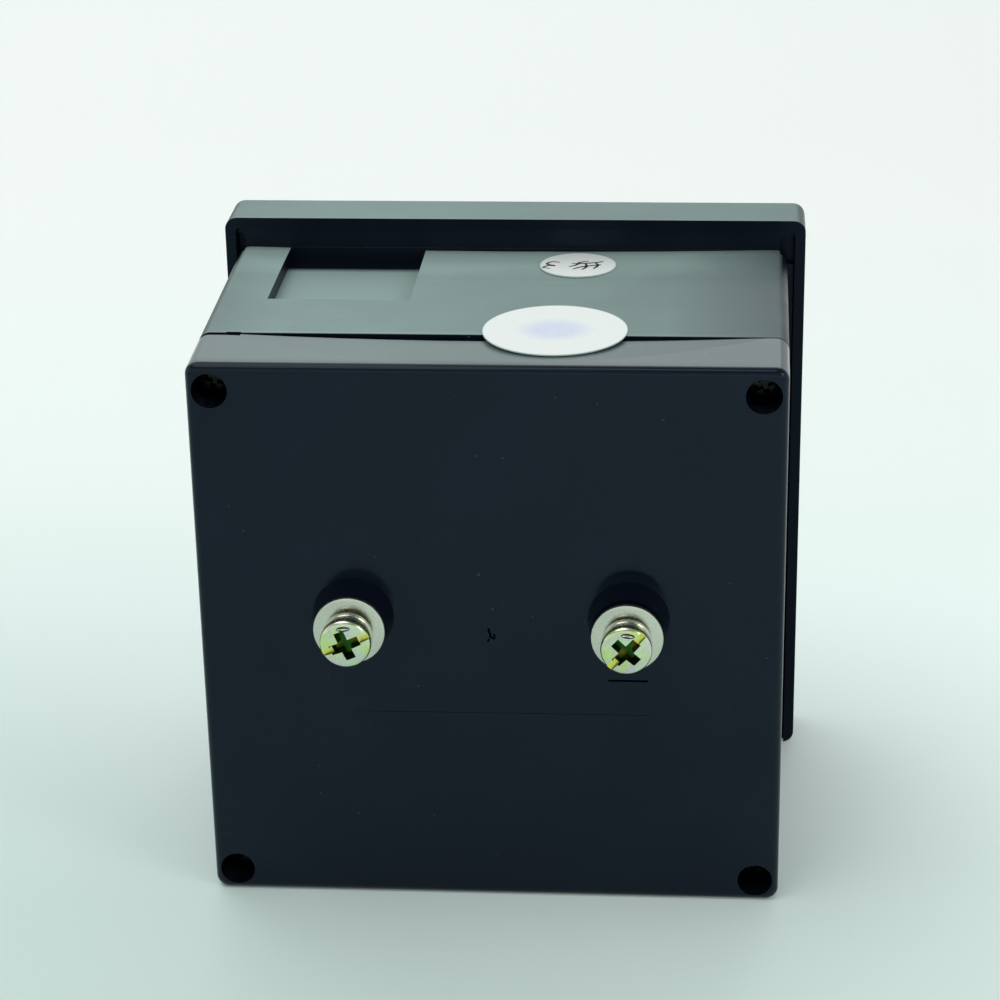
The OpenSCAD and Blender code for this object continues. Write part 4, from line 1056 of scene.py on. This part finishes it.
class PM_OT_stage(bpy.types.Operator):
    """Sets the floor, the lamps, the world and the camera"""

    bl_idname = "pm.stage"
    bl_label = "Set the stage"

    def execute(self, context):
        self.floor()
        self.world()
        for lamp in LAMPS:
            self.lamp(*lamp)
        self.camera()
        return {"FINISHED"}

    def floor(self):
        """A pale floor through the lower edges of the bezel and the cover."""
        slope = (COVER_LOW.z - BEZEL_LOW.z) / REAR_FACE
        bm = bmesh.new()
        bmesh.ops.create_grid(bm, x_segments=8, y_segments=8, size=sizes().floor_size / 2)
        for v in bm.verts:
            v.co.z = BEZEL_LOW.z - FLOOR_GAP + slope * v.co.y
        mesh = to_mesh("floor", bm)
        mesh.materials.append(self.floor_finish())
        ground = bpy.data.objects.new("floor", mesh)
        bpy.context.scene.collection.objects.link(ground)

    def floor_finish(self):
        """Soft paint that turns greener toward the camera, with a faint glow that only shows when
        seen straight, in a gloss or through a pane. The glow is shaped as painted light and shade:
        much weaker in front of the meter, a painted shadow, and near the meter lighter towards -X
        and darker towards +X.
        """
        made, n, shader, place = start_material("floor")
        axes = n.add("ShaderNodeSeparateXYZ", {0: place})
        across, along = axes.outputs["X"], axes.outputs["Y"]
        cloud = n.noise(place, 2.0, 2, 0.5)
        near = n.math("ADD", n.band(along, -0.3, 0.04), n.band(cloud, 0.3, 0.7, -0.03, 0.03),
                      clamp=True)
        # Painted shadow: the glow drops to three tenths in front of the meter
        glow = n.times(n.band(along, -0.4, -0.15, 0.15, 0.18), n.band(along, -0.06, 0.06, 1, 0.3))
        # Painted light and shade: near the meter the glow is lighter towards -X and darker towards
        # +X
        side = n.times(n.band(across, -0.1, 0.1, 0.07, -0.06), n.band(along, -0.1, 0.03))
        glow = n.times(n.math("ADD", glow, side, clamp=True), seen_directly(n))
        n.fill(shader, {
            "Base Color": n.mix(near, rgba("floor"), rgba("floor_near")),
            "Emission Color": rgba("floor_glow"), "Emission Strength": glow,
            "Roughness": 0.55, "Specular IOR Level": 0.2})
        return made

    def world(self):
        """Even light from all sides, and a backdrop that fades upward."""
        sky = bpy.data.worlds.new("studio")
        bpy.context.scene.world = sky
        sky.use_nodes = True
        n = Nodes(sky.node_tree)
        seen = seen_directly(n)
        place = n.add("ShaderNodeTexCoord").outputs["Generated"]
        height = n.add("ShaderNodeSeparateXYZ", {0: place}).outputs["Z"]
        shown = n.times(seen, n.band(height, 0.2, 0.85, 0.95, 0.2))
        lit = n.times(n.math("SUBTRACT", 1.0, seen), WORLD_LIGHT)
        n.fill(sky.node_tree.nodes["Background"], {
            "Color": rgba("studio"), "Strength": n.math("ADD", lit, shown)})

    def lamp(self, name, spot, aim, width, height, power, tint):
        light = bpy.data.lights.new(name, "AREA")
        light.shape = "RECTANGLE"
        light.size = width
        light.size_y = height
        light.energy = power
        light.color = tint
        holder = bpy.data.objects.new(name, light)
        holder.location = spot
        turn = (Vector(aim) - Vector(spot)).to_track_quat("-Z", "Y")
        holder.rotation_euler = turn.to_euler()
        holder.visible_camera = False
        bpy.context.scene.collection.objects.link(holder)

    def camera(self):
        lens = bpy.data.cameras.new("camera")
        lens.sensor_width = 36
        lens.lens = sizes().camera_focal
        lens.clip_start = 0.01
        lens.clip_end = 50
        holder = bpy.data.objects.new("camera", lens)
        bpy.context.scene.collection.objects.link(holder)
        ahead = Vector(CAMERA_AHEAD).normalized()
        level = ahead.cross(Vector((0, 0, 1))).normalized()
        upright = level.cross(ahead)
        roll = math.radians(CAMERA_ROLL)
        right = level * math.cos(roll) + upright * math.sin(roll)
        up = upright * math.cos(roll) - level * math.sin(roll)
        turn = Matrix((right, up, -ahead)).transposed().to_4x4()
        holder.matrix_world = Matrix.Translation(CAMERA_SPOT) @ turn
        bpy.context.scene.camera = holder


STEPS = (PM_OT_mouldings, PM_OT_terminals, PM_OT_cover_screws, PM_OT_labels, PM_OT_dial,
         PM_OT_movement, PM_OT_rear_marks, PM_OT_stage)


class PM_PT_panel(bpy.types.Panel):
    """Lists the meter's settings and steps"""

    bl_label = "Panel Meter"
    bl_idname = "PM_PT_panel"
    bl_space_type = "VIEW_3D"
    bl_region_type = "UI"
    bl_category = "Panel Meter"

    def draw(self, context):
        for settings in (context.scene.pm_sizes, context.scene.pm_colours):
            for key in settings.__annotations__:
                self.layout.prop(settings, key)
        for step in STEPS:
            self.layout.operator(step.bl_idname)


CLASSES = (PM_PG_colours, PM_PG_sizes, *STEPS, PM_PT_panel)


def register():
    for made in CLASSES:
        bpy.utils.register_class(made)
    bpy.types.Scene.pm_colours = PointerProperty(type=PM_PG_colours)
    bpy.types.Scene.pm_sizes = PointerProperty(type=PM_PG_sizes)


def unregister():
    del bpy.types.Scene.pm_sizes
    del bpy.types.Scene.pm_colours
    for made in reversed(CLASSES):
        bpy.utils.unregister_class(made)


def plain(box):
    """A box as lists of numbers."""
    return [list(corner) for corner in box]


def main():
    register()
    bpy.context.scene.view_settings.view_transform = "Standard"
    for step in STEPS:
        area, name = step.bl_idname.split(".")
        getattr(getattr(bpy.ops, area), name)()


if __name__ == "__main__":
    main()
